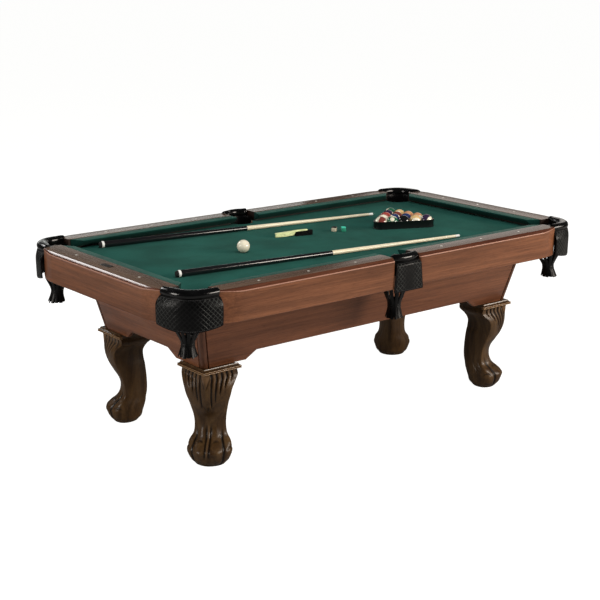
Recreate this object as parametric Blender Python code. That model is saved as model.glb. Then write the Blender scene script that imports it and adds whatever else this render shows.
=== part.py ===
"""Drop-pocket pool table with cabriole claw-foot legs, and the play set that lies on it.

Metres, +Z up. The origin is on the floor under the middle of the table. +X runs along the table
to its right end, and -Y is the near side. "near" and "far" name the long sides, "left" and "right"
the ends.
"""

import math

import bmesh
import bpy
from mathutils import Matrix, Vector

# Driving dimensions: a 90 x 50 x 32 inch table with a 78 x 39 inch playing area.
LENGTH = 2.286
WIDTH = 1.270
RAIL_TOP = 0.8128
PLAY_LENGTH = 1.981
PLAY_WIDTH = 0.9906
GAP = 0.0004  # clearance between pieces that touch

# Heights
BED_TOP = 0.770
CLOTH_THICKNESS = 0.0012
BED_THICKNESS = 0.025
APRON_BOTTOM = 0.680
PANEL_BOTTOM = 0.464
EAR_BOTTOM = 0.4285

# Rails and cushions
CUSHION_DEPTH = 0.045
CUSHION_NOSE_RISE = 0.036
BEVEL_WIDTH = 0.0133
BEVEL_DROP = 0.0150
APRON_THICKNESS = 0.020
CORNER_WOOD_END = 0.055  # from a corner pocket's centre back to the end of the wood
SIDE_WOOD_END = 0.072  # from the middle of the table to the end of the wood
CORNER_MOUTH = 0.085  # from the corner of the playing area to a cushion's tip
SIDE_MOUTH = 0.066
TAPER_RUN = 0.108  # the length over which a rail end curves in towards its corner pocket
TAPER_DEPTH = 0.022
TAPER_STATIONS = 4

# Pockets
CORNER_SETBACK = 0.012  # of a corner pocket's centre from the corner of the playing area
SIDE_SETBACK = 0.0567
CORNER_RADIUS = 0.066
SIDE_RADIUS = 0.056
HOLE_RADIUS = {"corner": 0.062, "side": 0.058}
SHELL = 0.005
BAND_DEPTH = 0.023  # from the rail top down to the lower edge of the rolled rim
SIDE_SPREAD = 0.012  # of a side pocket's shield, over each of its two rails
ARC_STATIONS = 14
BASKET_SIDES = 18

# Cabinet: its outer faces slope in towards the floor
CABINET_TOP_X = 0.9496
CABINET_TOP_Y = 0.4556
CABINET_SLOPE = 0.22
PANEL_THICKNESS = 0.018
POST_SIZE = 0.024
POST_ROUNDING = 0.013
POST_GROOVE = 0.005

# Legs
LEG_X = 0.804
LEG_Y = 0.320
LEG_TOP_HALF = 0.0797
LEG_BLOCK_HALF = 0.045
LEG_BLOCK_TOP = 0.500
LEG_STEP = 0.0003  # rise of the seat that the cabinet's ears rest on, towards the block
LEG_SIDES = 20
CAP_HALF = 0.095
CAP_BOTTOM = 0.4085
CAP_TOP = 0.4215

# Each station of a leg: (height, reach to the toe, reach to the heel, half width, squareness,
# lead). The reaches run along the diagonal from the block's centre, the width across it. A
# squareness of 1 gives a square whose corners lie on the diagonals, and 2 an ellipse. lead says
# how far ahead of the middle the leg is widest.
LEG_STATIONS = (
    (0.000, 0.072, 0.035, 0.062, 1.8, 0.000),
    (0.018, 0.092, 0.054, 0.080, 1.8, 0.000),
    (0.042, 0.103, 0.062, 0.087, 1.8, 0.000),
    (0.067, 0.106, 0.070, 0.092, 1.7, 0.002),
    (0.092, 0.085, 0.077, 0.084, 1.6, 0.008),
    (0.115, 0.057, 0.080, 0.073, 1.5, 0.015),
    (0.135, 0.043, 0.083, 0.069, 1.4, 0.020),
    (0.165, 0.037, 0.084, 0.066, 1.3, 0.024),
    (0.204, 0.046, 0.083, 0.069, 1.3, 0.025),
    (0.240, 0.070, 0.080, 0.076, 1.3, 0.024),
    (0.267, 0.087, 0.077, 0.082, 1.3, 0.023),
    (0.300, 0.101, 0.071, 0.092, 1.2, 0.022),
    (0.335, 0.107, 0.072, 0.101, 1.2, 0.018),
    (0.360, 0.107, 0.088, 0.110, 1.1, 0.010),
    (0.382, 0.106, 0.111, 0.117, 1.05, 0.0),
    (0.398, 0.108, 0.1127, 0.115, 1.0, 0.0),
)

# Play set
BALL_RADIUS = 0.028575
CUE_LENGTH = 1.473
CUE_BUTT_RADIUS = 0.0145
CUE_TIP_RADIUS = 0.0064
CUE_JOINT = 0.74  # from the butt to the joint
RACK_WALL = 0.007
RACK_HEIGHT = 0.036
CHALK_SIDE = 0.022

BED_BOTTOM = BED_TOP - CLOTH_THICKNESS - GAP - BED_THICKNESS
CORNER_POCKET = Vector(
    (PLAY_LENGTH / 2 + CORNER_SETBACK, PLAY_WIDTH / 2 + CORNER_SETBACK)
)
SIDE_POCKET = Vector((0.0, PLAY_WIDTH / 2 + SIDE_SETBACK))
CORNER_CUT = 0.026  # how far short of a corner pocket's centre the bed's corner is cut off
BED_HALF_X = 1.114
BED_HALF_Y = 0.606
RACK_APEX_BALL = (0.4336, 0.015)
RACK_TURN = math.radians(6)
BALL_TONES = {
    "yellow": (0.85, 0.60, 0.05),
    "blue": (0.03, 0.06, 0.45),
    "red": (0.65, 0.04, 0.03),
    "purple": (0.16, 0.03, 0.30),
    "orange": (0.80, 0.22, 0.03),
    "green": (0.01, 0.22, 0.08),
    "maroon": (0.30, 0.03, 0.03),
    "black": (0.01, 0.01, 0.01),
}
RACKED_TONES = (
    "maroon", "green", "red", "black", "blue", "red", "yellow", "blue", "maroon", "purple",
    "purple", "orange", "orange", "yellow", "green",
)  # fmt: skip
SIDES = {"near": -1, "far": 1}
ENDS = {"left": -1, "right": 1}


def clear_scene():
    for obj in list(bpy.data.objects):
        bpy.data.objects.remove(obj, do_unlink=True)


def material(name, colour, roughness, metallic=0.0):
    found = bpy.data.materials.get(name)
    if found:
        return found
    made = bpy.data.materials.new(name)
    made.use_nodes = True
    shader = made.node_tree.nodes["Principled BSDF"]
    shader.inputs["Base Color"].default_value = (*colour, 1.0)
    shader.inputs["Roughness"].default_value = roughness
    shader.inputs["Metallic"].default_value = metallic
    made.diffuse_color = (*colour, 1.0)
    return made


def walnut():
    return material("walnut laminate", (0.20, 0.085, 0.045), 0.38)


def dark_walnut():
    return material("dark walnut", (0.10, 0.055, 0.030), 0.32)


def green_cloth():
    return material("green cloth", (0.015, 0.110, 0.085), 0.95)


def black_leather():
    return material("black leather", (0.012, 0.012, 0.013), 0.35)


def finish(name, mesh, look, smooth_angle=None):
    """Turns a bmesh into a named object with its faces pointing out."""
    bmesh.ops.recalc_face_normals(mesh, faces=mesh.faces)
    data = bpy.data.meshes.new(name)
    mesh.to_mesh(data)
    mesh.free()
    data.materials.append(look)
    if smooth_angle:
        data.shade_smooth()
        data.set_sharp_from_angle(angle=math.radians(smooth_angle))
    obj = bpy.data.objects.new(name, data)
    bpy.context.scene.collection.objects.link(obj)
    return obj


def skin(mesh, rings):
    """Joins rings of equally many points with quads and closes both ends."""
    loops = [[mesh.verts.new(point) for point in ring] for ring in rings]
    count = len(rings[0])
    for low, high in zip(loops, loops[1:]):
        for i in range(count):
            j = (i + 1) % count
            mesh.faces.new((low[i], low[j], high[j], high[i]))
    mesh.faces.new(loops[0])
    mesh.faces.new(loops[-1])


def loft(name, rings, look, smooth_angle=None):
    mesh = bmesh.new()
    skin(mesh, rings)
    return finish(name, mesh, look, smooth_angle)


def prism(name, outline, bottom, top, look):
    """Extrudes an outline of (x, y) points between two heights."""
    rings = [[(x, y, z) for x, y in outline] for z in (bottom, top)]
    return loft(name, rings, look)


def arc(centre, radius, start, end, steps):
    """Points on a circle, from one angle in degrees to another, both included."""
    angles = [math.radians(start + (end - start) * i / steps) for i in range(steps + 1)]
    return [
        (centre[0] + radius * math.cos(a), centre[1] + radius * math.sin(a)) for a in angles
    ]


def flipped(points, sx, sy):
    return [(sx * x, sy * y) for x, y in points]


def bed_outline(half_x, half_y):
    """The bed with its four corners and two sides cut away round the pockets, anticlockwise."""
    cx, cy = CORNER_POCKET
    hole = HOLE_RADIUS["corner"]
    bite = math.degrees(math.acos(CORNER_CUT / math.sqrt(2) / hole))
    slot = SIDE_WOOD_END
    reach = (CUSHION_DEPTH + PLAY_WIDTH / 2) - SIDE_POCKET.y
    side_hole = HOLE_RADIUS["side"]
    lip = math.degrees(math.asin(reach / side_hole))
    corner = [
        (half_x, cy - CORNER_CUT - (half_x - cx)),
        *arc((cx, cy), hole, bite - 135, -135 - bite, 8),
        (cx - CORNER_CUT - (half_y - cy), half_y),
    ]
    side = [
        (slot, half_y),
        (slot, SIDE_POCKET.y + reach),
        *arc(SIDE_POCKET, side_hole, lip, -180 - lip, 8),
        (-slot, SIDE_POCKET.y + reach),
        (-slot, half_y),
    ]
    far_half = corner + side + flipped(corner, -1, 1)[::-1]
    return far_half + flipped(far_half, -1, -1)


def make_bed():
    board = bed_outline(BED_HALF_X, BED_HALF_Y)
    chipboard = material("bed board", (0.45, 0.36, 0.25), 0.8)
    prism("bed_board", board, BED_BOTTOM, BED_BOTTOM + BED_THICKNESS, chipboard)
    prism("bed_cloth", board, BED_TOP - CLOTH_THICKNESS, BED_TOP, green_cloth())


def taper(distance):
    """How far a rail's outer face curves in, at a distance past the start of its curved end."""
    return TAPER_DEPTH * max(0.0, distance / TAPER_RUN) ** 2


def rail_section(inner, outer, pull):
    """A rail's outline across its length, as (outward, height). Its outer face is pulled in by pull."""
    under = BED_TOP + GAP
    face = outer - pull
    return [
        (inner, RAIL_TOP),
        (face - BEVEL_WIDTH, RAIL_TOP),
        (face, RAIL_TOP - BEVEL_DROP),
        (face, APRON_BOTTOM),
        (face - APRON_THICKNESS, APRON_BOTTOM),
        (face - APRON_THICKNESS, under),
        (inner, under),
    ]


def make_side_rail(name, sx, sy):
    """One long-side rail, from the side pocket to a corner pocket."""
    start = SIDE_WOOD_END
    end = CORNER_POCKET.x - CORNER_WOOD_END
    curve = end - TAPER_RUN
    stations = [start] + [curve + TAPER_RUN * i / TAPER_STATIONS for i in range(TAPER_STATIONS + 1)]
    inner = PLAY_WIDTH / 2 + CUSHION_DEPTH
    rings = [
        [(sx * x, sy * y, z) for y, z in rail_section(inner, WIDTH / 2, taper(x - curve))]
        for x in stations
    ]
    return loft(name, rings, walnut())


def make_end_rail(name, sx):
    """One end rail, between two corner pockets."""
    end = CORNER_POCKET.y - CORNER_WOOD_END
    curve = end - TAPER_RUN
    half = [curve + TAPER_RUN * i / TAPER_STATIONS for i in range(TAPER_STATIONS + 1)]
    stations = [-y for y in reversed(half)] + half
    inner = PLAY_LENGTH / 2 + CUSHION_DEPTH
    rings = [
        [(sx * x, y, z) for x, z in rail_section(inner, LENGTH / 2, taper(abs(y) - curve))]
        for y in stations
    ]
    return loft(name, rings, walnut())


def cushion_section(nose, depth):
    """A cushion's outline as (outward, height): flat top, rounded nose and undercut face."""
    tip = BED_TOP + CUSHION_NOSE_RISE
    return [
        (nose + depth - GAP, RAIL_TOP - 0.0015),
        (nose + 0.006, tip + 0.0035),
        (nose + 0.0015, tip + 0.0015),
        (nose, tip - 0.001),
        (nose + 0.002, tip - 0.005),
        (nose + depth - GAP, BED_TOP + 0.004),
    ]


def make_cushion(name, nose, ends, place):
    """A cushion whose two ends are given as (tip, back): where its nose and its back stop."""
    section = cushion_section(nose, CUSHION_DEPTH)
    rings = []
    for tip, back in ends:
        share = [(out - nose) / CUSHION_DEPTH for out, _ in section]
        rings.append(
            [place(tip + (back - tip) * s, out, z) for s, (out, z) in zip(share, section)]
        )
    return loft(name, rings, green_cloth())


def make_rails():
    side_nose = PLAY_WIDTH / 2
    end_nose = PLAY_LENGTH / 2
    for side, sy in SIDES.items():
        for end, sx in ENDS.items():
            make_side_rail(f"rail_{side}_{end}", sx, sy)
            ends = [
                (SIDE_MOUTH, SIDE_WOOD_END - 0.002),
                (end_nose - CORNER_MOUTH, CORNER_POCKET.x - CORNER_WOOD_END),
            ]
            make_cushion(
                f"cushion_{side}_{end}",
                side_nose,
                ends,
                lambda along, out, z, sx=sx, sy=sy: (sx * along, sy * out, z),
            )
    for end, sx in ENDS.items():
        make_end_rail(f"rail_end_{end}", sx)
        tip = side_nose - CORNER_MOUTH
        back = CORNER_POCKET.y - CORNER_WOOD_END
        make_cushion(
            f"cushion_end_{end}",
            end_nose,
            [(-tip, -back), (tip, back)],
            lambda along, out, z, sx=sx: (sx * out, along, z),
        )


def pocket_section(inner, outer, outward, hem):
    """One upright cut through a pocket's leather, from its inner edge to its outer edge.

    The rolled rim spans the cut, a web goes down inside the bed's cut-out, and the shield hangs
    outside. hem is (bottom of the shield, how far its shoulder, its belly and its hem stand out,
    and how far the hem spreads along the rail).
    """
    across = (outer - inner).normalized()
    bottom, shoulder, belly, lip, spread = hem
    along = Vector((-outward.y, outward.x))
    web_bottom = BED_BOTTOM - 0.008

    def inside(shift, z):
        spot = inner + across * shift
        return (spot.x, spot.y, z)

    def outside(shift, z, widened=0.0):
        spot = outer + outward * shift + along * widened
        return (spot.x, spot.y, z)

    return [
        inside(0.0, RAIL_TOP - 0.004),
        inside(0.005, RAIL_TOP + 0.006),
        inside((outer - inner).length / 2, RAIL_TOP + 0.010),
        outside(-0.008, RAIL_TOP + 0.006),
        outside(0.0, RAIL_TOP - 0.006),
        outside(-0.001, RAIL_TOP - BAND_DEPTH),
        outside(shoulder, RAIL_TOP - BAND_DEPTH - 0.012),
        outside(belly, RAIL_TOP - 0.075, spread * 0.4),
        outside(lip, bottom, spread),
        outside(lip - SHELL, bottom, spread),
        outside(belly - SHELL, RAIL_TOP - 0.075, spread * 0.4),
        outside(shoulder - SHELL, RAIL_TOP - BAND_DEPTH - 0.014),
        outside(-SHELL - 0.002, RAIL_TOP - BAND_DEPTH - 0.006),
        inside(SHELL + 0.001, RAIL_TOP - BAND_DEPTH - 0.006),
        inside(SHELL + 0.001, web_bottom),
        inside(0.0015, web_bottom),
    ]


def corner_rim(share):
    """A corner pocket's rim seen from above: inner point, outer point and outward; and its hem."""
    centre = CORNER_POCKET
    back = CORNER_WOOD_END - GAP
    first = -math.asin(back / CORNER_RADIUS)
    last = math.pi - math.acos(back / CORNER_RADIUS)
    angle = first + (last - first) * share
    inner = centre + CORNER_RADIUS * Vector((math.cos(angle), math.sin(angle)))
    start = Vector((LENGTH / 2 - TAPER_DEPTH, centre.y - back))
    end = Vector((centre.x - back, WIDTH / 2 - TAPER_DEPTH))
    # A curve from one rail end to the other, whose middle stands clear of the hole.
    crest = centre + Vector((1, 1)).normalized() * 0.112
    pull = 2 * crest - (start + end) / 2
    outer = (1 - share) ** 2 * start + 2 * share * (1 - share) * pull + share**2 * end
    turn = share * math.pi / 2
    middle = math.sin(math.pi * share)
    belly = 0.020 - 0.016 * middle
    hem = (0.681 - 0.020 * middle**0.7, belly * 0.45, belly, belly * 0.8, 0.0)
    return inner, outer, Vector((math.cos(turn), math.sin(turn))), hem


def side_rim(share):
    """A side pocket's rim seen from above: inner point, outer point and outward; and its hem."""
    angle = math.radians(-5 + 190 * share)
    inner = SIDE_POCKET + SIDE_RADIUS * Vector((math.cos(angle), math.sin(angle)))
    bulge = 0.016 * math.sin(math.pi * share)
    half = SIDE_WOOD_END - GAP
    outer = Vector((half * (1 - 2 * share), WIDTH / 2 - BEVEL_WIDTH + bulge))
    out = 0.020 - 0.013 * math.sin(math.pi * share)
    hem = (0.665, out - 0.001, out, out, SIDE_SPREAD * (2 * share - 1))
    return inner, outer, Vector((0.0, 1.0)), hem


# For each kind of pocket: rim, centre, radius, how far the basket hangs to one side of its neck,
# its lean below that, and its outline as (height, outer radius) from the foot up past the waist.
POCKETS = {
    "corner": (
        corner_rim,
        CORNER_POCKET,
        CORNER_RADIUS,
        Vector((0.022, -0.004)),
        Vector((0.08, 0.08)),
        ((0.552, 0.035), (0.572, 0.029), (0.595, 0.026), (0.625, 0.038), (0.655, 0.055)),
    ),
    "side": (
        side_rim,
        SIDE_POCKET,
        SIDE_RADIUS,
        Vector((0.0, 0.0)),
        Vector((0.0, 0.0)),
        ((0.533, 0.036), (0.558, 0.030), (0.590, 0.027), (0.625, 0.039), (0.665, 0.052)),
    ),
}


def basket_rings(centre, neck, hang, lean, outline):
    """Rings from the foot up the outside, over the neck, and down the hollow to its floor."""
    top = BED_BOTTOM - GAP
    hollow_floor, hollow_rise = outline[3][0], outline[4][0]
    outside = [*outline, (top, neck + 0.0085)]
    hollow = [(top, neck - 0.001), (hollow_rise, outline[4][1] - SHELL), (hollow_floor, 0.022)]
    rings = []
    for z, radius in outside + hollow:
        middle = Vector(centre) + lean * (top - z)
        if z < top:
            middle += hang
        rings.append([(x, y, z) for x, y in arc(middle, radius, 0, 360, BASKET_SIDES)[:-1]])
    return rings


def signed(rings, sx, sy):
    return [[(sx * x, sy * y, z) for x, y, z in ring] for ring in rings]


def make_pocket(name, kind, sx, sy):
    """A leather pocket: rim and shield as one sweep, joined to its basket."""
    rim, centre, radius, hang, lean, outline = POCKETS[kind]
    sweep = [pocket_section(*rim(i / ARC_STATIONS)) for i in range(ARC_STATIONS + 1)]
    pocket = loft(name, signed(sweep, sx, sy), black_leather(), smooth_angle=40)
    basket = loft(
        name + "_basket",
        signed(basket_rings(centre, radius, hang, lean, outline), sx, sy),
        black_leather(),
        smooth_angle=40,
    )
    basket.hide_render = True
    basket.display_type = "WIRE"
    union = pocket.modifiers.new("basket", "BOOLEAN")
    union.operation = "UNION"
    union.solver = "EXACT"
    union.object = basket


def make_pockets():
    for side, sy in SIDES.items():
        make_pocket(f"pocket_{side}_middle", "side", 1, sy)
        for end, sx in ENDS.items():
            make_pocket(f"pocket_{side}_{end}", "corner", sx, sy)


def cabinet_half(z):
    """Half the cabinet's outer length and width at a height."""
    drop = CABINET_SLOPE * (BED_BOTTOM - z)
    return CABINET_TOP_X - drop, CABINET_TOP_Y - drop


def panel_outline(half_at, ear_end, notch_end):
    """A panel's face as (along, height): straight top, and a bottom edge with an ear at each leg."""
    top = BED_BOTTOM - GAP
    edge = POST_SIZE + POST_GROOVE
    half = [
        (half_at(top) - edge, top),
        (half_at(EAR_BOTTOM) - edge, EAR_BOTTOM),
        (ear_end, EAR_BOTTOM),
        (notch_end, PANEL_BOTTOM),
    ]
    return half + [(-along, z) for along, z in reversed(half)]


def make_cabinet():
    for side, sy in SIDES.items():
        outline = panel_outline(lambda z: cabinet_half(z)[0], 0.668, 0.618)
        rings = [
            [(x, sy * (cabinet_half(z)[1] - inset), z) for x, z in outline]
            for inset in (0.0, PANEL_THICKNESS)
        ]
        loft(f"panel_{side}", rings, walnut())
    for end, sx in ENDS.items():
        outline = panel_outline(lambda z: cabinet_half(z)[1], 0.190, 0.140)
        rings = [
            [(sx * (cabinet_half(z)[0] - inset), y, z) for y, z in outline]
            for inset in (0.0, PANEL_THICKNESS)
        ]
        loft(f"panel_{end}", rings, walnut())


def make_post(name, sx, sy):
    """A corner trim with a rounded outer edge, which follows the cabinet's slope."""
    rings = []
    for z in (EAR_BOTTOM, BED_BOTTOM - GAP):
        x, y = cabinet_half(z)
        x_in, y_in = x - POST_SIZE, y - POST_SIZE
        rounded = arc((x - POST_ROUNDING, y - POST_ROUNDING), POST_ROUNDING, 0, 90, 6)
        ring = [(x_in, y_in), (x, y_in), *rounded, (x_in, y)]
        rings.append([(sx * a, sy * b, z) for a, b in ring])
    loft(name, rings, walnut(), smooth_angle=30)


def make_beam(name, x):
    """A cross beam under the bed, cut to the slope of the side panels."""
    half_thickness, height = 0.020, 0.085
    rings = []
    for z in (BED_BOTTOM - GAP - height, BED_BOTTOM - GAP):
        y = cabinet_half(z)[1] - PANEL_THICKNESS - GAP
        corners = ((-half_thickness, -y), (half_thickness, -y), (half_thickness, y), (-half_thickness, y))
        rings.append([(x + a, b, z) for a, b in corners])
    loft(name, rings, material("beam pine", (0.55, 0.40, 0.24), 0.7))


def leg_ring(z, toe, heel, half_width, squareness, lead=0.0):
    """A leg's outline at one height, before it is turned to its own corner."""
    forward = Vector((1, 1)).normalized()
    sideways = Vector((-1, 1)).normalized()
    widest = (toe - heel) / 2 + lead
    centre = Vector((LEG_X, LEG_Y)) + forward * widest
    ring = []
    for i in range(LEG_SIDES):
        angle = 2 * math.pi * i / LEG_SIDES
        c, s = math.cos(angle), math.sin(angle)
        reach = toe - widest if c > 0 else heel + widest
        along = math.copysign(abs(c) ** (2 / squareness), c) * reach
        across = math.copysign(abs(s) ** (2 / squareness), s) * half_width
        spot = centre + forward * along + sideways * across
        ring.append((spot.x, spot.y, z))
    return ring


def make_leg(name, sx, sy):
    """A cabriole leg with its square block, which goes up inside the cabinet."""
    shoulder = LEG_TOP_HALF * math.sqrt(2)
    block = LEG_BLOCK_HALF * math.sqrt(2)
    seat = EAR_BOTTOM - GAP
    rings = [leg_ring(*station) for station in LEG_STATIONS]
    rings += [leg_ring(z, shoulder, shoulder, shoulder, 1.0) for z in (CAP_BOTTOM - 0.001, seat)]
    rings += [leg_ring(z, block, block, block, 1.0) for z in (seat + LEG_STEP, LEG_BLOCK_TOP)]
    loft(name, signed(rings, sx, sy), dark_walnut(), smooth_angle=50)


def make_leg_cap(name, sx, sy):
    """The L-shaped double-bead moulding round a leg's two outer faces."""
    x_in = LEG_X + LEG_TOP_HALF + GAP
    y_in = LEG_Y + LEG_TOP_HALF + GAP
    profile = (
        (CAP_BOTTOM, 0.003),
        (CAP_BOTTOM + 0.002, 0.0),
        (CAP_BOTTOM + 0.005, 0.0),
        (CAP_BOTTOM + 0.0065, 0.003),
        (CAP_BOTTOM + 0.008, 0.0),
        (CAP_TOP - 0.002, 0.0),
        (CAP_TOP, 0.003),
    )
    rings = []
    for z, inset in profile:
        x_out = LEG_X + CAP_HALF - inset
        y_out = LEG_Y + CAP_HALF - inset
        x_back = LEG_X - CAP_HALF
        y_back = LEG_Y - CAP_HALF
        ring = [
            (x_back, y_in),
            (x_in, y_in),
            (x_in, y_back),
            (x_out, y_back),
            (x_out, y_out),
            (x_back, y_out),
        ]
        rings.append([(sx * x, sy * y, z) for x, y in ring])
    loft(name, rings, dark_walnut())


def make_base():
    make_cabinet()
    for end, sx in ENDS.items():
        make_beam(f"cross_beam_{end}", 0.33 * sx)
        for side, sy in SIDES.items():
            make_post(f"corner_post_{side}_{end}", sx, sy)
            make_leg(f"leg_{side}_{end}", sx, sy)
            make_leg_cap(f"leg_cap_{side}_{end}", sx, sy)


def make_ball(name, x, y, look):
    mesh = bmesh.new()
    place = Matrix.Translation((x, y, BED_TOP + BALL_RADIUS + GAP))
    bmesh.ops.create_uvsphere(
        mesh, u_segments=12, v_segments=8, radius=BALL_RADIUS, matrix=place
    )
    finish(name, mesh, look, smooth_angle=60)


def racked(row, across):
    """Where a racked ball's centre lies: rows behind the apex ball, and ball widths across."""
    spacing = 2 * BALL_RADIUS + GAP
    back = row * spacing * math.sqrt(3) / 2
    side = across * spacing
    c, s = math.cos(RACK_TURN), math.sin(RACK_TURN)
    return RACK_APEX_BALL[0] + back * c - side * s, RACK_APEX_BALL[1] + back * s + side * c


def make_racked_balls():
    """Fifteen balls in five rows behind the rack's apex: two of each colour but black."""
    number = 0
    for row in range(5):
        for place in range(row + 1):
            tone = RACKED_TONES[number]
            number += 1
            look = material(f"{tone} resin", BALL_TONES[tone], 0.08)
            make_ball(f"ball_{number:02d}", *racked(row, place - row / 2), look)


def rack_outline(offset, steps):
    """A triangle with round corners, a fixed distance outside the three corner balls' centres."""
    corners = ((racked(0, 0), 120), (racked(4, -2), 240), (racked(4, 2), 0))
    points = []
    for centre, first in corners:
        first += math.degrees(RACK_TURN)
        points += arc(centre, offset, first, first + 120, steps)
    return points


def make_rack():
    """The triangle, as one ring of wall sections that goes all the way round."""
    bottom = BED_TOP + GAP
    inner = rack_outline(BALL_RADIUS + 0.001, 6)
    outer = rack_outline(BALL_RADIUS + 0.001 + RACK_WALL, 6)
    mesh = bmesh.new()
    walls = []
    for (xi, yi), (xo, yo) in zip(inner, outer):
        corners = (
            (xi, yi, bottom),
            (xo, yo, bottom),
            (xo, yo, bottom + RACK_HEIGHT),
            (xi, yi, bottom + RACK_HEIGHT),
        )
        walls.append([mesh.verts.new(corner) for corner in corners])
    for here, ahead in zip(walls, walls[1:] + walls[:1]):
        for i in range(4):
            j = (i + 1) % 4
            mesh.faces.new((here[i], here[j], ahead[j], ahead[i]))
    look = material("black plastic", (0.015, 0.015, 0.016), 0.4)
    finish("triangle_rack", mesh, look, smooth_angle=30)


def make_cue(name, butt, tip):
    """A cue that lies on the cloth: a straight taper in two slopes, from rubber bumper to tip."""
    stations = (
        (0.0, CUE_BUTT_RADIUS * 0.86),
        (0.004, CUE_BUTT_RADIUS),
        (CUE_JOINT, 0.0105),
        (CUE_LENGTH - 0.004, CUE_TIP_RADIUS),
        (CUE_LENGTH, CUE_TIP_RADIUS * 0.7),
    )
    rest = BED_TOP + GAP
    start = Vector((*butt, rest + CUE_BUTT_RADIUS + 0.0008))
    aim = Vector((*tip, rest + CUE_TIP_RADIUS + 0.0008)) - start
    turn = aim.to_track_quat("Z", "Y").to_matrix()
    rings = []
    for along, radius in stations:
        circle = arc((0.0, 0.0), radius, 0, 360, 12)[:-1]
        rings.append([start + turn @ Vector((x, y, along)) for x, y in circle])
    loft(name, rings, material("maple shaft", (0.72, 0.55, 0.33), 0.3), smooth_angle=40)


def make_brush(butt, toe):
    """The bed brush: a thick handle that thins to a strip over its block of bristles."""
    start = Vector((*butt, BED_TOP + GAP))
    forward = (Vector((*toe, BED_TOP + GAP)) - start).normalized()
    sideways = forward.cross(Vector((0, 0, 1)))
    stations = (
        (0.000, 0.005, 0.003, 0.013),
        (0.006, 0.009, 0.000, 0.018),
        (0.090, 0.011, 0.002, 0.026),
        (0.096, 0.015, 0.000, 0.030),
        (0.194, 0.014, 0.000, 0.030),
        (0.200, 0.010, 0.000, 0.026),
    )
    rings = []
    for along, half, low, high in stations:
        corners = ((-half, low), (half, low), (half, high - 0.004), (half - 0.004, high),
                   (-half + 0.004, high), (-half, high - 0.004))  # fmt: skip
        middle = start + forward * along
        rings.append([middle + sideways * a + Vector((0, 0, b)) for a, b in corners])
    loft("bed_brush", rings, material("pale wood", (0.80, 0.78, 0.45), 0.4))


def make_chalk(name, x, y, turn):
    """A chalk cube with worn edges and a dished top."""
    half = CHALK_SIDE / 2
    rest = BED_TOP + GAP
    levels = (
        (0.0, half - 0.001),
        (0.001, half),
        (CHALK_SIDE - 0.001, half),
        (CHALK_SIDE, half - 0.001),
        (CHALK_SIDE, half - 0.004),
        (CHALK_SIDE - 0.003, half - 0.007),
    )
    rings = []
    for z, reach in levels:
        corners = arc((x, y), reach * math.sqrt(2), turn, turn + 360, 4)[:-1]
        rings.append([(a, b, rest + z) for a, b in corners])
    loft(name, rings, material("green chalk", (0.05, 0.45, 0.32), 0.9))


def make_play_set():
    make_cue("cue_near", (-0.880, -0.203), (0.590, -0.360))
    make_cue("cue_far", (-0.838, 0.472), (0.601, 0.280))
    make_rack()
    make_racked_balls()
    make_ball("cue_ball", -0.393, -0.001, material("ivory", (0.85, 0.80, 0.66), 0.08))
    make_brush((-0.090, 0.161), (0.085, 0.111))
    make_chalk("chalk_cube_spent", 0.214, 0.100, 35)
    make_chalk("chalk_cube_green", 0.247, 0.072, 60)


if __name__ == "__main__":
    clear_scene()
    make_bed()
    make_rails()
    make_pockets()
    make_base()
    make_play_set()
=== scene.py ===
"""Looks of a drop-pocket pool table with carved claw-foot legs, and of the play set on it.

Metres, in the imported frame's axes: +X to the table's right end, -Y the near side, +Z up. Pieces
are built in mesh code round the frame's nodes, and every material is made of shader nodes.
"""

import math
import random

import bmesh
import bpy
import numpy as np
from mathutils import Matrix, Vector


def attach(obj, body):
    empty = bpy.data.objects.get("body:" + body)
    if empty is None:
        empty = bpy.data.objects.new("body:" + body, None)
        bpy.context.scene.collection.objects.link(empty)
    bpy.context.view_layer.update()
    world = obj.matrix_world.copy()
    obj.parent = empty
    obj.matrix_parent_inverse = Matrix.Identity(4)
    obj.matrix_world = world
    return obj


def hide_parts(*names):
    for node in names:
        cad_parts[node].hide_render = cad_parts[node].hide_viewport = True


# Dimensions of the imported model
LENGTH = 2.286
WIDTH = 1.270
RAIL_TOP = 0.8128
PLAY_LENGTH = 1.981
PLAY_WIDTH = 0.9906
GAP = 0.0004
BED_TOP = 0.770
REST = BED_TOP + GAP
CLOTH_THICKNESS = 0.0012
APRON_BOTTOM = 0.680
EAR_BOTTOM = 0.4285
CUSHION_DEPTH = 0.045
CUSHION_TIP = BED_TOP + 0.036
APRON_THICKNESS = 0.020
CORNER_WOOD_END = 0.055
SIDE_WOOD_END = 0.072
CORNER_MOUTH = 0.085
SIDE_MOUTH = 0.066
TAPER_RUN = 0.108
TAPER_DEPTH = 0.022
CORNER_POCKET = Vector((PLAY_LENGTH / 2 + 0.012, PLAY_WIDTH / 2 + 0.012))
SIDE_POCKET = Vector((0.0, PLAY_WIDTH / 2 + 0.0567))
CORNER_RADIUS = 0.066
SIDE_RADIUS = 0.056
BAND_DEPTH = 0.023
SIDE_SPREAD = 0.012
CORNER_HOLE = 0.062
SIDE_HOLE = 0.058
CORNER_CUT = 0.026
BED_HALF = (1.114, 0.606)
LEG_X = 0.804
LEG_Y = 0.320
LEG_TOP_HALF = 0.0797
LEG_BLOCK_HALF = 0.045
LEG_BLOCK_TOP = 0.500
CAP_HALF = 0.095
CAP_BOTTOM = 0.4085
CAP_TOP = 0.4215
BALL_RADIUS = 0.028575
CUE_LENGTH = 1.473
CUE_BUTT_RADIUS = 0.0145
CUE_TIP_RADIUS = 0.0064
CUE_JOINT = 0.74
CHALK_SIDE = 0.022
RACK_APEX_BALL = (0.4336, 0.015)
RACK_TURN = math.radians(6)
SIDES = {"near": -1, "far": 1}
ENDS = {"left": -1, "right": 1}

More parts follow.
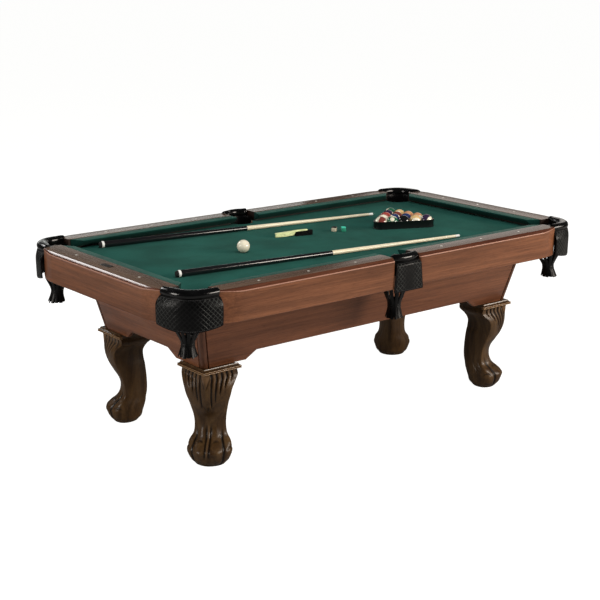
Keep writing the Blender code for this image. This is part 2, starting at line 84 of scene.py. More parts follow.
# ---------------------------------------------------------------- mesh building


class Build:
    """Collects the points and faces of one piece."""

    def __init__(self):
        self.points, self.faces, self.looks, self.relief = [], [], [], []

    def skin(self, rings, caps=True, loop=False, look=0, bands=None, relief=None):
        """Joins rows of points. A look is a material index: one for everything, or one for each
        point of a row. Bands give one look for each row instead."""
        first, count = len(self.points), len(rings[0])
        for ring in rings:
            self.points.extend(tuple(float(c) for c in point) for point in ring)
        self.relief.extend(relief or [0.5] * (len(rings) * count))
        looks = [look] * count if isinstance(look, int) else look
        for i in range(len(rings) if loop else len(rings) - 1):
            here, ahead = first + i * count, first + (i + 1) % len(rings) * count
            for j in range(count):
                k = (j + 1) % count
                self.faces.append((here + j, here + k, ahead + k, ahead + j))
                self.looks.append(bands[i] if bands else looks[j])
        for i in (0, len(rings) - 1) if caps else ():
            start = first + i * count
            self.faces.append(tuple(range(start, start + count)))
            self.looks.append(bands[i] if bands else looks[-1])
        return self

    def piece(self, name, looks, slot, node=None, body="table", sharp=40, flip=(1, 1), place=None):
        """Makes the object and hands it to the frame, standing for a CAD node if one is named."""
        mesh = bpy.data.meshes.new(name)
        mesh.from_pydata([(flip[0] * x, flip[1] * y, z) for x, y, z in self.points], [], self.faces)
        for look in looks:
            mesh.materials.append(look.material)
        mesh.polygons.foreach_set("material_index", self.looks)
        mesh.attributes.new("relief", "FLOAT", "POINT").data.foreach_set("value", self.relief)
        return give(name, mesh, node, body, sharp, place)


def give(name, mesh, node, body, sharp, place=None):
    """Faces a mesh outwards, smooths it, and lets its object ride on a body."""
    solid = bmesh.new()
    solid.from_mesh(mesh)
    bmesh.ops.recalc_face_normals(solid, faces=solid.faces)
    solid.to_mesh(mesh)
    solid.free()
    mesh.shade_smooth()
    mesh.set_sharp_from_angle(angle=math.radians(sharp))
    obj = bpy.data.objects.new(name, mesh)
    bpy.context.scene.collection.objects.link(obj)
    if place:
        obj.matrix_world = place
    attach(obj, body)
    if node:
        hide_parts(node)
    return obj


def softened(node, look, width):
    """A copy of a CAD node with its edges rounded over, which stands for the node."""
    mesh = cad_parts[node].data.copy()
    mesh.materials.clear()
    mesh.materials.append(look.material)
    solid = bmesh.new()
    solid.from_mesh(mesh)
    bmesh.ops.remove_doubles(solid, verts=solid.verts, dist=1e-6)
    flat = math.radians(1)
    bmesh.ops.dissolve_limit(solid, angle_limit=flat, verts=solid.verts, edges=solid.edges)
    edges = [e for e in solid.edges if e.calc_face_angle(0) > math.radians(15)]
    bmesh.ops.bevel(solid, geom=edges, offset=width, segments=3, profile=0.5, affect="EDGES",
                    clamp_overlap=True)  # fmt: skip
    solid.to_mesh(mesh)
    solid.free()
    mesh.polygons.foreach_set("material_index", [0] * len(mesh.polygons))
    give(node + "_body", mesh, node, "table", 30)


def arc(centre, radius, start, end, steps):
    """Points on a circle, from one angle in degrees to another, both included."""
    angles = [math.radians(start + (end - start) * i / steps) for i in range(steps + 1)]
    return [(centre[0] + radius * math.cos(a), centre[1] + radius * math.sin(a)) for a in angles]


def rounded_box(low, high, inset, radius, steps):
    """A rectangle whose corners are arcs, with their centres a given distance inside it."""
    points = []
    for qx, qy, first in ((1, 1, 0), (-1, 1, 90), (-1, -1, 180), (1, -1, 270)):
        x = (high[0] if qx > 0 else low[0]) - qx * inset
        y = (high[1] if qy > 0 else low[1]) - qy * inset
        points += arc((x, y), radius, first, first + 90, steps)
    return points


def across(axis, along, section):
    """A section of (outward, height) points, set across a piece that runs along x or y."""
    return [(along, out, z) if axis == "x" else (out, along, z) for out, z in section]


def blend_in(value, low, high):
    """0 below low, 1 above high, and a smooth rise between them."""
    share = np.clip((value - low) / (high - low), 0.0, 1.0)
    return share * share * (3 - 2 * share)


def bump_at(value, centre, width):
    return np.exp(-(((value - centre) / width) ** 2))


def smooth_table(table, at):
    """Rows of a table, read at any value of its first column along smooth curves."""
    table = np.array(sorted(table), float)
    keys, rows = table[:, 0], table[:, 1:]
    slopes = np.gradient(rows, keys, axis=0)
    at = np.atleast_1d(at)
    index = np.clip(np.searchsorted(keys, at) - 1, 0, len(keys) - 2)
    step = (keys[index + 1] - keys[index])[:, None]
    t = ((at - keys[index])[:, None] / step).clip(0, 1)
    return (
        rows[index] * (2 * t**3 - 3 * t**2 + 1)
        + slopes[index] * step * (t**3 - 2 * t**2 + t)
        + rows[index + 1] * (3 * t**2 - 2 * t**3)
        + slopes[index + 1] * step * (t**3 - t**2)
    )


def lathe(build, profile, start, direction=(0, 0, 1), sides=24):
    """Turns a profile of (along, radius, look) round a straight axis."""
    start = Vector(start)
    turn = Vector(direction).normalized().to_track_quat("Z", "Y").to_matrix()
    rings = [
        [start + turn @ Vector((x, y, along)) for x, y in arc((0, 0), radius, 0, 360, sides)[:-1]]
        for along, radius, _ in profile
    ]
    return build.skin(rings, bands=[look for _, _, look in profile])


# ---------------------------------------------------------------- materials


def times(tone, factor):
    return tuple(factor * c for c in tone)


class Look:
    """A node material under construction."""

    def __init__(self, name, roughness, **constants):
        self.material = bpy.data.materials.new(name)
        self.material.use_nodes = True
        self.tree = self.material.node_tree
        self.shader = self.tree.nodes["Principled BSDF"]
        self.shader.inputs["Roughness"].default_value = roughness
        for socket, value in constants.items():
            self.shader.inputs[socket.replace("_", " ")].default_value = value

    def node(self, kind, inputs, **settings):
        made = self.tree.nodes.new("ShaderNode" + kind)
        for setting, value in settings.items():
            setattr(made, setting, value)
        for socket, value in inputs.items():
            if isinstance(value, bpy.types.NodeSocket):
                self.tree.links.new(value, made.inputs[socket])
            else:
                made.inputs[socket].default_value = value
        return made

    def space(self, scale=(1, 1, 1), rotation=(0, 0, 0)):
        """Object coordinates, turned and then scaled."""
        place = self.node("TexCoord", {}).outputs["Object"]
        turned = self.node("Mapping", {"Vector": place, "Rotation": rotation})
        return self.node("Mapping", {"Vector": turned.outputs[0], "Scale": scale}).outputs[0]

    def noise(self, space, scale, detail=2.0, roughness=0.5, distortion=0.0):
        inputs = {"Vector": space, "Scale": scale, "Detail": detail, "Roughness": roughness,
                  "Distortion": distortion}  # fmt: skip
        return self.node("TexNoise", inputs).outputs["Fac"]

    def ramp(self, factor, *stops):
        """Colours or greys by factor, from (position, value) stops."""
        made = self.node("ValToRGB", {"Fac": factor})
        elements = made.color_ramp.elements
        while len(elements) < len(stops):
            elements.new(0.5)
        for element, (position, value) in zip(elements, stops):
            element.position = position
            grey = isinstance(value, (int, float))
            element.color = (value, value, value, 1) if grey else (*value, 1)
        return made.outputs["Color"]

    def mix(self, factor, a, b, mode="MIX"):
        inputs = {0: factor, 6: a, 7: b}
        inputs = {k: (*v, 1) if isinstance(v, tuple) else v for k, v in inputs.items()}
        return self.node("Mix", inputs, data_type="RGBA", blend_type=mode).outputs[2]

    def shade(self, amount, colour, pattern, *stops):
        """A colour darkened and lightened by a pattern."""
        return self.mix(amount, colour, self.ramp(pattern, *stops), "MULTIPLY")

    def math(self, operation, a, b=0.0):
        return self.node("Math", {0: a, 1: b}, operation=operation).outputs[0]

    def attribute(self, name):
        return self.node("Attribute", {}, attribute_name=name).outputs["Fac"]

    def paint(self, colour):
        self.tree.links.new(colour, self.shader.inputs["Base Color"])
        return self

    def rough(self, factor, low, high):
        level = self.node("MapRange", {"Value": factor, "To Min": low, "To Max": high})
        self.tree.links.new(level.outputs[0], self.shader.inputs["Roughness"])
        return self

    def bump(self, height, distance):
        made = self.node("Bump", {"Height": height, "Distance": distance, "Strength": 1.0})
        normal = self.shader.inputs["Normal"]
        if normal.links:
            self.tree.links.new(normal.links[0].from_socket, made.inputs["Normal"])
        self.tree.links.new(made.outputs[0], normal)
        return self


def wood(name, axis, tones, roughness=0.34, coat=0.12, rotation=(0, 0, 0), fine=1.0):
    """Lacquered wood with its grain along one axis of its own space."""
    look = Look(name, roughness, Coat_Weight=coat, Coat_Roughness=0.16, Specular_IOR_Level=0.25)

    def drawn_out(along, across, *noise):
        scale = tuple(along if letter == axis else across * fine for letter in "xyz")
        return look.noise(look.space(scale, rotation), 1.0, *noise)

    colour = look.ramp(drawn_out(0.7, 9.0, 5.0, 0.55, 0.7), *zip((0.29, 0.50, 0.72), tones))
    bands = drawn_out(2.2, 110.0, 4.0, 0.62, 0.4)
    colour = look.shade(0.55, colour, bands, (0.36, 0.55), (0.64, 1.18))
    fibre = drawn_out(7.0, 420.0, 3.0, 0.6)
    colour = look.shade(0.5, colour, fibre, (0.35, 0.62), (0.6, 1.08))
    colour = look.shade(0.6, colour, drawn_out(26.0, 900.0, 1.0), (0.30, 0.35), (0.40, 1.0))
    return look.paint(colour).rough(fibre, roughness - 0.04, roughness + 0.08).bump(fibre, 0.00006)


def carved_wood(name, coat, low, high, worn):
    """Dark stained wood, with painted shade in the carving's hollows and a painted highlight on its raised
    edges.
    """
    look = Look(name, low, Coat_Weight=coat, Coat_Roughness=0.2, Specular_IOR_Level=0.20)
    figure = look.noise(look.space((22.0, 22.0, 3.0)), 1.0, 6.0, 0.6, 1.2)
    tones = (0.038, 0.018, 0.0065), (0.076, 0.040, 0.0150), (0.115, 0.064, 0.025)
    colour = look.ramp(figure, *zip((0.32, 0.52, 0.72), tones))
    fibre = look.noise(look.space((380.0, 380.0, 9.0)), 1.0, 3.0, 0.6)
    colour = look.shade(0.5, colour, fibre, (0.35, 0.6), (0.62, 1.15))
    depth = look.attribute("relief")
    # Painted shade: the colour darkens where the carving's relief is low, in its hollows
    colour = look.shade(1.0, colour, depth, (0.05, 0.10), (0.42, 0.9), (0.5, 1.0))
    # Painted highlight: the raised parts take the lighter colour given as worn
    colour = look.mix(look.ramp(depth, (0.56, 0.0), (0.85, 0.6)), colour, worn)
    return look.paint(colour).rough(fibre, low, high).bump(fibre, 0.00008)


def cloth(name, tone, roughness=0.95, shine=0.06):
    """Napped billiard cloth, smoother and shinier where it is pulled tight."""
    look = Look(name, roughness, Sheen_Weight=0.04, Sheen_Roughness=0.5, Specular_IOR_Level=shine,
                Sheen_Tint=(0.45, 0.80, 0.70, 1))  # fmt: skip
    patches = look.noise(look.space((5.0, 5.0, 5.0)), 1.0, 4.0, 0.55)
    nap = look.noise(look.space((900.0, 900.0, 900.0)), 1.0, 2.0, 0.6)
    weave = look.noise(look.space((160.0, 420.0, 420.0)), 1.0, 2.0, 0.6)
    colour = look.ramp(patches, (0.35, times(tone, 0.80)), (0.65, times(tone, 1.22)))
    colour = look.shade(0.45, colour, nap, (0.3, 0.65), (0.7, 1.25))
    colour = look.shade(0.3, colour, weave, (0.35, 0.75), (0.65, 1.15))
    return look.paint(colour).bump(nap, 0.00022)


def leather(name, roughness, grain, coat):
    """Black leather with a pebbled grain."""
    look = Look(name, roughness, Coat_Weight=coat, Coat_Roughness=0.12, Specular_IOR_Level=0.22)
    inputs = {"Vector": look.space(), "Scale": grain}
    cells = look.node("TexVoronoi", inputs, feature="DISTANCE_TO_EDGE").outputs["Distance"]
    patches = look.noise(look.space(), 30.0, 4.0, 0.6)
    colour = look.ramp(patches, (0.3, (0.0012, 0.0012, 0.0013)), (0.7, (0.0030, 0.0030, 0.0032)))
    look.paint(look.shade(0.8, colour, cells, (0.0, 0.55), (0.08, 1.0)))
    look.rough(patches, roughness - 0.05, roughness + 0.10)
    return look.bump(look.ramp(cells, (0.0, 0.0), (0.12, 1.0)), 0.00003)


DIAMOND = 0.0200


def quilted_leather(name):
    """Black leather with a diamond net of raised cords, which are painted a little grey as a highlight."""
    look = Look(name, 0.34, Specular_IOR_Level=0.16)
    along, down, field = (look.attribute(name) for name in ("along", "down", "quilted"))
    waves = []
    for family in ("ADD", "SUBTRACT"):
        phase = look.math("MULTIPLY", look.math(family, along, down), math.pi / DIAMOND)
        waves.append(look.math("ABSOLUTE", look.math("SINE", phase)))
    net = look.ramp(look.math("MINIMUM", *waves), (0.10, 1.0), (0.42, 0.0))
    cord = look.math("MULTIPLY", net, field)
    patches = look.noise(look.space(), 30.0, 4.0, 0.6)
    ground = look.ramp(patches, (0.3, (0.0010, 0.0010, 0.0011)), (0.7, (0.0022, 0.0022, 0.0023)))
    worn = look.noise(look.space(), 60.0, 3.0, 0.6)
    # Painted highlight: the cords are lighter grey, varied at random, and most towards both ends of the
    # shield
    cord_highlight = look.math("MULTIPLY", cord, look.ramp(worn, (0.3, 0.35), (0.7, 1.0)))
    look.paint(look.mix(cord_highlight, ground, (0.060, 0.064, 0.060))).rough(patches, 0.30, 0.42)
    return look.bump(look.noise(look.space(), 900.0, 2.0, 0.6), 0.00012).bump(cord, 0.0016)


def plain(name, tone, roughness, speckle=300.0, contrast=0.12, coat=0.0, depth=0.00004, shine=0.5):
    """Moulded or lacquered stuff with a slight unevenness in its colour and surface."""
    look = Look(name, roughness, Coat_Weight=coat, Coat_Roughness=0.08, Specular_IOR_Level=shine)
    grain = look.noise(look.space(), speckle, 3.0, 0.6)
    look.paint(look.ramp(grain, (0.3, times(tone, 1 - contrast)), (0.7, times(tone, 1 + contrast))))
    return look.rough(grain, max(0.0, roughness - 0.03), roughness + 0.05).bump(grain, depth)


# ---------------------------------------------------------------- rails

WOOD_REACH = 0.009
SIDE_END_RADIUS = 0.010
CORNER_END_RADIUS = 0.005
# What each facet of a rail's section shows: 0 apron, 1 top board, 2 arris moulding, 3 stained
# end, 4 bead, painted lighter as a highlight line
RAIL_LOOKS = (3, 1, 1, 2, 2, 2, 2, 4, 4, 4, 2, 0, 0, 0, 3, 3)
ARRIS = (
    (0.0158, 0.0), (0.0140, 0.0004), (0.0128, 0.0012), (0.0072, 0.0056), (0.0034, 0.0114),
    (0.0010, 0.0119), (0.0001, 0.0136), (0.0006, 0.0160),
)  # fmt: skip


def turned_in(distance, radius):
    """How far a rounded corner is pulled in, at a distance from its end."""
    if distance >= radius:
        return 0.0
    return radius - math.sqrt(max(0.0, radius**2 - (radius - distance) ** 2))


def rail_section(inner, face, arris):
    """A rail from the inside of its foot, over the top and down the apron, to the apron's back."""
    return [
        (inner, REST),
        (inner, RAIL_TOP - 0.0010),
        (inner + 0.0010, RAIL_TOP),
        *[(face - back * arris, RAIL_TOP - down * arris) for back, down in ARRIS],
        (face - 0.0010, RAIL_TOP - 0.0172 * arris),
        (face - 0.0010, APRON_BOTTOM + 0.0020),
        (face - 0.0028, APRON_BOTTOM),
        (face - APRON_THICKNESS, APRON_BOTTOM),
        (face - APRON_THICKNESS, REST),
    ]


def rounding(radius, count=5):
    """Distances from a rounded end, close together where the rounding is tight."""
    return [radius * (1 - math.cos(math.pi / 2 * i / count)) for i in range(count + 1)]


def curved_end(end):
    """Places along the curved part of a rail, up to its end at a corner pocket."""
    curve = end - TAPER_RUN
    places = [curve - 0.004] + [curve + (TAPER_RUN - 0.006) * i / 10 for i in range(11)]
    return places + [end - d for d in reversed(rounding(CORNER_END_RADIUS))]


def make_rail(name, axis, places, start, half, flip):
    """A rail, given the places of its sections, where its square end is, and the table's half."""
    end = places[-1]
    inner = (PLAY_WIDTH if axis == "x" else PLAY_LENGTH) / 2 + CUSHION_DEPTH
    rings = []
    for along in places:
        left = end - abs(along)
        past = max(0.0, (TAPER_RUN - left) / TAPER_RUN)
        pull = TAPER_DEPTH * past**2 + turned_in(left, CORNER_END_RADIUS)
        pull += turned_in(along - start, SIDE_END_RADIUS)
        arris = 0.42 + 0.58 * float(blend_in(left, 0.0, TAPER_RUN))
        rings.append(across(axis, along, rail_section(inner, half - pull, arris)))
    looks = [apron[axis], top_board[axis], arris_wood[axis], end_stain, bead]
    build = Build().skin(rings, look=RAIL_LOOKS)
    build.piece(name + "_wood", looks, "walnut_laminate", name, flip=flip, sharp=28)


def cushion_section(nose):
    """A cushion across its length: flat top, rounded nose, and a face that slopes back under it."""
    back = nose + CUSHION_DEPTH - GAP
    tip = (nose + 0.0048, CUSHION_TIP - 0.0012)
    return [
        (back, RAIL_TOP - 0.0040),
        (back - 0.0006, RAIL_TOP - 0.0020),
        (back - 0.0022, RAIL_TOP - 0.0012),
        (back - 0.0150, RAIL_TOP - 0.0014),
        (nose + 0.0160, RAIL_TOP - 0.0022),
        *arc(tip, 0.0048, 88, 214, 9),
        (nose + 0.0080, BED_TOP + 0.0220),
        (nose + 0.0200, BED_TOP + 0.0120),
        (back - 0.0010, BED_TOP + 0.0042),
        (back, BED_TOP + 0.0050),
    ]


# Points of a cushion's section from here on, round the nose and down the face, take a darker copy of the
# cloth as painted shade
FACE_FROM = 9
CUSHION_EDGE = ((0.0, 0.0016), (0.0005, 0.0006), (0.0016, 0.0), (0.0060, 0.0))


def make_cushion(name, axis, nose, ends, flip):
    """A cushion whose two ends are mitred: each runs from its place at the nose to the back's."""
    section = cushion_section(nose)
    middle = Vector([sum(c) / len(section) for c in zip(*section)])
    rings = []
    for (tip, back), inward, edge in zip(ends, (1, -1), (CUSHION_EDGE, CUSHION_EDGE[::-1])):
        for distance, inset in edge:
            ring = []
            for out, z in section:
                spot = Vector((out, z))
                spot += (middle - spot).normalized() * inset
                along = tip + (back - tip) * (out - nose) / CUSHION_DEPTH + inward * distance
                ring += across(axis, along, [spot])
            rings.append(ring)
    build = Build().skin(rings, look=[0] * FACE_FROM + [1] * (len(section) - FACE_FROM))
    build.piece(name + "_cloth", [cushion_green, cushion_face_painted_shade], "cushion_cloth", name, flip=flip,
                sharp=50)  # fmt: skip


def make_rails():
    side_nose, end_nose = PLAY_WIDTH / 2, PLAY_LENGTH / 2
    start = SIDE_WOOD_END
    side_back, end_back = (c - CORNER_WOOD_END for c in CORNER_POCKET)
    side_end, end_end = side_back + WOOD_REACH, end_back + WOOD_REACH
    run = side_end - TAPER_RUN - start
    side_places = [start + d for d in rounding(SIDE_END_RADIUS)] + [start + 0.018]
    side_places += [start + run * i / 6 for i in range(1, 6)] + curved_end(side_end)
    half = [(end_end - TAPER_RUN) * i / 4 for i in (1, 2, 3)] + curved_end(end_end)
    end_places = [-y for y in reversed(half)] + [0.0] + half
    side_ends = ((SIDE_MOUTH, start - 0.002), (end_nose - CORNER_MOUTH, side_back))
    tip = side_nose - CORNER_MOUTH
    for side, sy in SIDES.items():
        for end, sx in ENDS.items():
            make_rail(f"rail_{side}_{end}", "x", side_places, start, WIDTH / 2, (sx, sy))
            make_cushion(f"cushion_{side}_{end}", "x", side_nose, side_ends, (sx, sy))
    for end, sx in ENDS.items():
        make_rail(f"rail_end_{end}", "y", end_places, -LENGTH, LENGTH / 2, (sx, 1))
        make_cushion(f"cushion_end_{end}", "y", end_nose, ((-tip, -end_back), (tip, end_back)), (sx, 1))


SIGHT_RADIUS = 0.0055
SIDE_SIGHT_Y = PLAY_WIDTH / 2 + CUSHION_DEPTH + 0.038
END_SIGHT_X = PLAY_LENGTH / 2 + CUSHION_DEPTH + 0.044


def make_sights():
    """Pearl dots let into the rail tops, every eighth of the long sides and quarter of the ends."""
    step = PLAY_LENGTH / 8
    profile = [(-0.0010, SIGHT_RADIUS, 0), (0.0002, SIGHT_RADIUS, 0), (0.0005, SIGHT_RADIUS * 0.8, 0),
               (0.0006, SIGHT_RADIUS * 0.4, 0)]  # fmt: skip
    rows = {}
    for side, sy in SIDES.items():
        for end, sx in ENDS.items():
            rows[f"{side}_{end}"] = [(sx * step * i, sy * SIDE_SIGHT_Y) for i in (1, 2, 3)]
    rows["end_left"] = [(-END_SIGHT_X, i * step) for i in (-1, 1)]
    rows["end_right"] = [(END_SIGHT_X, i * step) for i in (-1, 0, 1)]
    for name, spots in rows.items():
        build = Build()
        for spot in spots:
            lathe(build, profile, (*spot, RAIL_TOP))
        build.piece("sights_" + name, [pearl], "sight")


PLATE_HALF = (0.014, 0.037)
PLATE_ROUNDING = 0.006


def make_plate():
    """A small blank plate in the middle of the left rail top."""
    low, high = ((-END_SIGHT_X + s * PLATE_HALF[0], s * PLATE_HALF[1]) for s in (-1, 1))
    rings = []
    for z, inset in ((-0.0008, 0.0), (0.0006, 0.0), (0.0011, 0.0006), (0.0012, 0.0018)):
        outline = rounded_box(low, high, PLATE_ROUNDING, PLATE_ROUNDING - inset, 5)
        rings.append([(x, y, RAIL_TOP + z) for x, y in outline])
    Build().skin(rings).piece("blank_plate", [plate], "rack_plastic")


# ---------------------------------------------------------------- bed


def bed_outline():
    """The cloth's outline with its pocket cut-outs, and each point's cut-out centre, if any."""
    half_x, half_y = BED_HALF
    cx, cy = CORNER_POCKET
    bite = math.degrees(math.acos(CORNER_CUT / math.sqrt(2) / CORNER_HOLE))
    reach = (CUSHION_DEPTH + PLAY_WIDTH / 2) - SIDE_POCKET.y
    lip = math.degrees(math.asin(reach / SIDE_HOLE))
    slot, ledge = SIDE_WOOD_END, SIDE_POCKET.y + reach
    corner = [((half_x, cy - CORNER_CUT - (half_x - cx)), None)]
    corner += [(p, (cx, cy)) for p in arc((cx, cy), CORNER_HOLE, bite - 135, -135 - bite, 24)]
    corner += [((cx - CORNER_CUT - (half_y - cy), half_y), None)]
    side = [((slot, half_y), None), ((slot, ledge), None)]
    side += [(p, tuple(SIDE_POCKET)) for p in arc(SIDE_POCKET, SIDE_HOLE, lip, -180 - lip, 24)]
    side += [((-slot, ledge), None), ((-slot, half_y), None)]

    def turned(entries, sx, sy):
        return [((sx * p[0], sy * p[1]), c and (sx * c[0], sy * c[1])) for p, c in entries]

    far = corner + side + turned(corner, -1, 1)[::-1]
    return far + turned(far, -1, -1)


def make_bed_cloth():
    """The cloth on the bed, pulled down over the edge of each cut-out."""
    entries = bed_outline()
    rings = []
    for inward, depth in ((0.0, 0.0), (0.0, 0.15), (0.0006, 0.55), (0.0009, 1.0)):
        ring = []
        for (x, y), centre in entries:
            if centre:
                toward = (Vector(centre) - Vector((x, y))).normalized() * inward
                x, y = x + toward.x, y + toward.y
            ring.append((x, y, BED_TOP - CLOTH_THICKNESS * depth))
        rings.append(ring)
    corners = [point for point, _ in entries]
    pairs = zip(corners, corners[1:] + corners[:1])
    area = abs(sum(a[0] * b[1] - b[0] * a[1] for a, b in pairs)) / 2
    build = Build().skin(rings)
    piece = build.piece("bed_cloth_sheet", [bed_green], "bed_cloth", "bed_cloth", sharp=60)


# ---------------------------------------------------------------- pockets


def heading(angle):
    return np.array((math.cos(angle), math.sin(angle), 0.0))


def corner_rim(share):
    """A corner pocket's rim seen from above: inner point, outer point and outward; and its hem.

    The hem is (height of the shield's lower edge, how far its belly stands out, how far down it
    has come out, and how far it spreads along the rail).
    """
    centre = CORNER_POCKET
    back = CORNER_WOOD_END - GAP
    first = -math.asin(back / CORNER_RADIUS)
    last = math.pi - math.acos(back / CORNER_RADIUS)
    angle = first + (last - first) * share
    inner = centre + CORNER_RADIUS * Vector((math.cos(angle), math.sin(angle)))
    start = Vector((LENGTH / 2 - TAPER_DEPTH, centre.y - back))
    end = Vector((centre.x - back, WIDTH / 2 - TAPER_DEPTH))
    crest = centre + Vector((1, 1)).normalized() * 0.112
    pull = 2 * crest - (start + end) / 2
    outer = (1 - share) ** 2 * start + 2 * share * (1 - share) * pull + share**2 * end
    turn = share * math.pi / 2
    middle = math.sin(math.pi * share)
    hem = (0.681 - 0.020 * middle**0.7, 0.020 - 0.016 * middle, 0.045, 0.0)
    return inner, outer, Vector((math.cos(turn), math.sin(turn))), hem


def side_rim(share):
    """A side pocket's rim seen from above, and its hem, as for a corner pocket."""
    angle = math.radians(-5 + 190 * share)
    middle = math.sin(math.pi * share)
    inner = SIDE_POCKET + SIDE_RADIUS * Vector((math.cos(angle), math.sin(angle)))
    half = SIDE_WOOD_END - GAP
    outer = Vector((half * (1 - 2 * share), WIDTH / 2 - 0.0133 + 0.016 * middle))
    hem = (0.665, 0.020 - 0.013 * middle, 0.017, SIDE_SPREAD * (2 * share - 1))
    return inner, outer, Vector((0.0, 1.0)), hem


RIM_STEPS = 40
RIM_ENDS = ((0.0, 0.78), (0.008, 0.90), (0.022, 0.98))
# The rolled rim in section: how far from its inner edge, or in the second part from its outer
# edge, and the height over the rail tops
RIM_INNER = (
    (0.0045, -0.0270), (0.0012, -0.0240), (0.0000, -0.0140), (0.0003, -0.0060), (0.0018, 0.0005),
    (0.0050, 0.0055), (0.0100, 0.0086), (0.0160, 0.0097),
)  # fmt: skip
RIM_OUTER = (
    (0.0200, 0.0099), (0.0135, 0.0088), (0.0080, 0.0062), (0.0036, 0.0022), (0.0010, -0.0030),
    (0.0, -0.0085), (0.0006, -0.0140), (0.0026, -0.0184), (0.0060, -0.0212), (0.0120, -0.0225),
)  # fmt: skip
RIM_HEART = -0.008


def slimmed(inner, outer, share):
    """A rim's inner edge, brought closer to its outer edge towards both ends."""
    full = float(blend_in(math.sin(math.pi * share), 0.0, 0.85))
    return outer + (inner - outer) * (0.42 + 0.58 * full)


def rim_stations():
    """Shares along a rim, each with the size of its section, which rounds over at both ends."""
    middle = [(0.05 + 0.90 * i / RIM_STEPS, 1.0) for i in range(RIM_STEPS + 1)]
    return [*RIM_ENDS, *middle, *[(1 - share, size) for share, size in reversed(RIM_ENDS)]]


def rim_ring(inner, outer, size):
    """The rim's rolled section, turned into points."""
    width = (outer - inner).length
    outward = (outer - inner) / width
    profile = [*RIM_INNER, (width / 2, 0.0101), *[(width - back, z) for back, z in RIM_OUTER]]
    points = []
    for along, z in profile:
        along = width / 2 + (along - width / 2) * (0.6 + 0.4 * size)
        z = RIM_HEART + (z - RIM_HEART) * size
        points.append((*(inner + outward * along), RAIL_TOP + z))
    return points


def liner_ring(inner, outer, edge):
    """A ledge under the rim's inner edge, and the wall that goes down inside the pocket's mouth."""
    outward = (outer - inner).normalized()
    ledge = (edge - inner).length + 0.008
    profile = (
        (ledge, -0.0225), (0.0014, -0.0225), (0.0002, -0.0245), (0.0008, -0.0700), (0.0040, -0.0775),
        (0.0064, -0.0760), (0.0050, -0.0700), (0.0054, -0.0270), (ledge, -0.0260),
    )  # fmt: skip
    return [(*(inner + outward * s), RAIL_TOP + z) for s, z in profile]


SHIELD_TOP = 0.0195
SHIELD_SHELL = 0.0032
SHIELD_ROWS = 44
WIDE_FROM = BAND_DEPTH + 0.012
CURL_FROM = 0.078


def shield_surface(rim, columns):
    """The shield's outer skin as an array of points, its outward directions, and its fields."""
    downs = np.linspace(0.0, 1.0, SHIELD_ROWS)
    points = np.zeros((columns, SHIELD_ROWS, 3))
    outs = np.zeros((columns, 1, 3))
    for i, share in enumerate(np.linspace(0.004, 0.996, columns)):
        _, outer, outward, (bottom, belly, run, spread) = rim(float(share))
        drop_end = RAIL_TOP - bottom
        drop = SHIELD_TOP + (drop_end - SHIELD_TOP) * downs
        rise = np.sin(math.pi / 2 * np.clip((drop - SHIELD_TOP) / run, 0, 1))
        past = np.clip((drop - CURL_FROM) / (drop_end - CURL_FROM), 0, 1)
        curl = 0.12 if rim is corner_rim else 0.0
        shift = -0.0035 + (belly + 0.0035) * rise * (1 - curl * past**1.5)
        widened = spread * np.clip((drop - WIDE_FROM) / (drop_end - WIDE_FROM), 0, 1)
        points[i, :, 0] = outer.x + outward.x * shift - outward.y * widened
        points[i, :, 1] = outer.y + outward.y * shift + outward.x * widened
        points[i, :, 2] = RAIL_TOP - drop
        outs[i, 0, :2] = outward
    steps = np.linalg.norm(np.diff(points[:, SHIELD_ROWS // 2], axis=0), axis=1)
    along = np.concatenate([[0], np.cumsum(steps)])
    half = along[-1] / 2
    u = (along - half)[:, None] + np.zeros((1, SHIELD_ROWS))
    v = (RAIL_TOP - points[:, :, 2]) - SHIELD_TOP
    edge = np.minimum(np.minimum(v, v[:, -1:] - v), half - np.abs(u))
    height = 0.0008 * blend_in(edge, 0.0055, 0.0090) - 0.0007 * bump_at(edge, 0.0050, 0.0011)
    height -= 0.0008 * blend_in(0.0020 - edge, 0.0, 0.0020)
    points = points + outs * height[:, :, None]
    # Where the cords stand: none near the edges, weak in the middle and full towards both ends, which sets
    # their relief and their painted highlight
    quilted = blend_in(edge, 0.0060, 0.0085) * (0.12 + 0.88 * blend_in(np.abs(u) / half, 0.15, 0.75))
    return points, outs, {"along": u, "down": v, "quilted": quilted}


STITCH_LENGTH = 0.0042
STITCH_PITCH = 0.0066
STITCH_RADIUS = 0.00045
STITCH = ((-0.5, 0.25), (-0.35, 0.9), (0.0, 1.1), (0.35, 0.9), (0.5, 0.25))


def make_stitches(build, line, normals):
    """A row of thread stitches laid along a polyline."""
    line = [Vector(p) for p in line]
    distance = [0.0]
    for a, b in zip(line, line[1:]):
        distance.append(distance[-1] + (b - a).length)

    def at(d):
        i = min(max(int(np.searchsorted(distance, d)) - 1, 0), len(line) - 2)
        t = (d - distance[i]) / (distance[i + 1] - distance[i])
        out = Vector(normals[i]).lerp(Vector(normals[i + 1]), t).normalized()
        return line[i].lerp(line[i + 1], t), out

    for n in range(int(distance[-1] / STITCH_PITCH)):
        rings = []
        for share, thick in STITCH:
            place = (n + 0.5) * STITCH_PITCH + share * STITCH_LENGTH
            spot, out = at(place)
            side = (at(place + 0.0004)[0] - spot).normalized().cross(out).normalized()
            spot = spot + out * (STITCH_RADIUS * (1.1 if abs(share) < 0.4 else 0.2))
            rings.append([spot + (side * math.cos(a) + out * math.sin(a)) * STITCH_RADIUS * thick
                          for a in (0.0, 1.257, 2.513, 3.770, 5.027)])  # fmt: skip
        build.skin(rings, look=1)


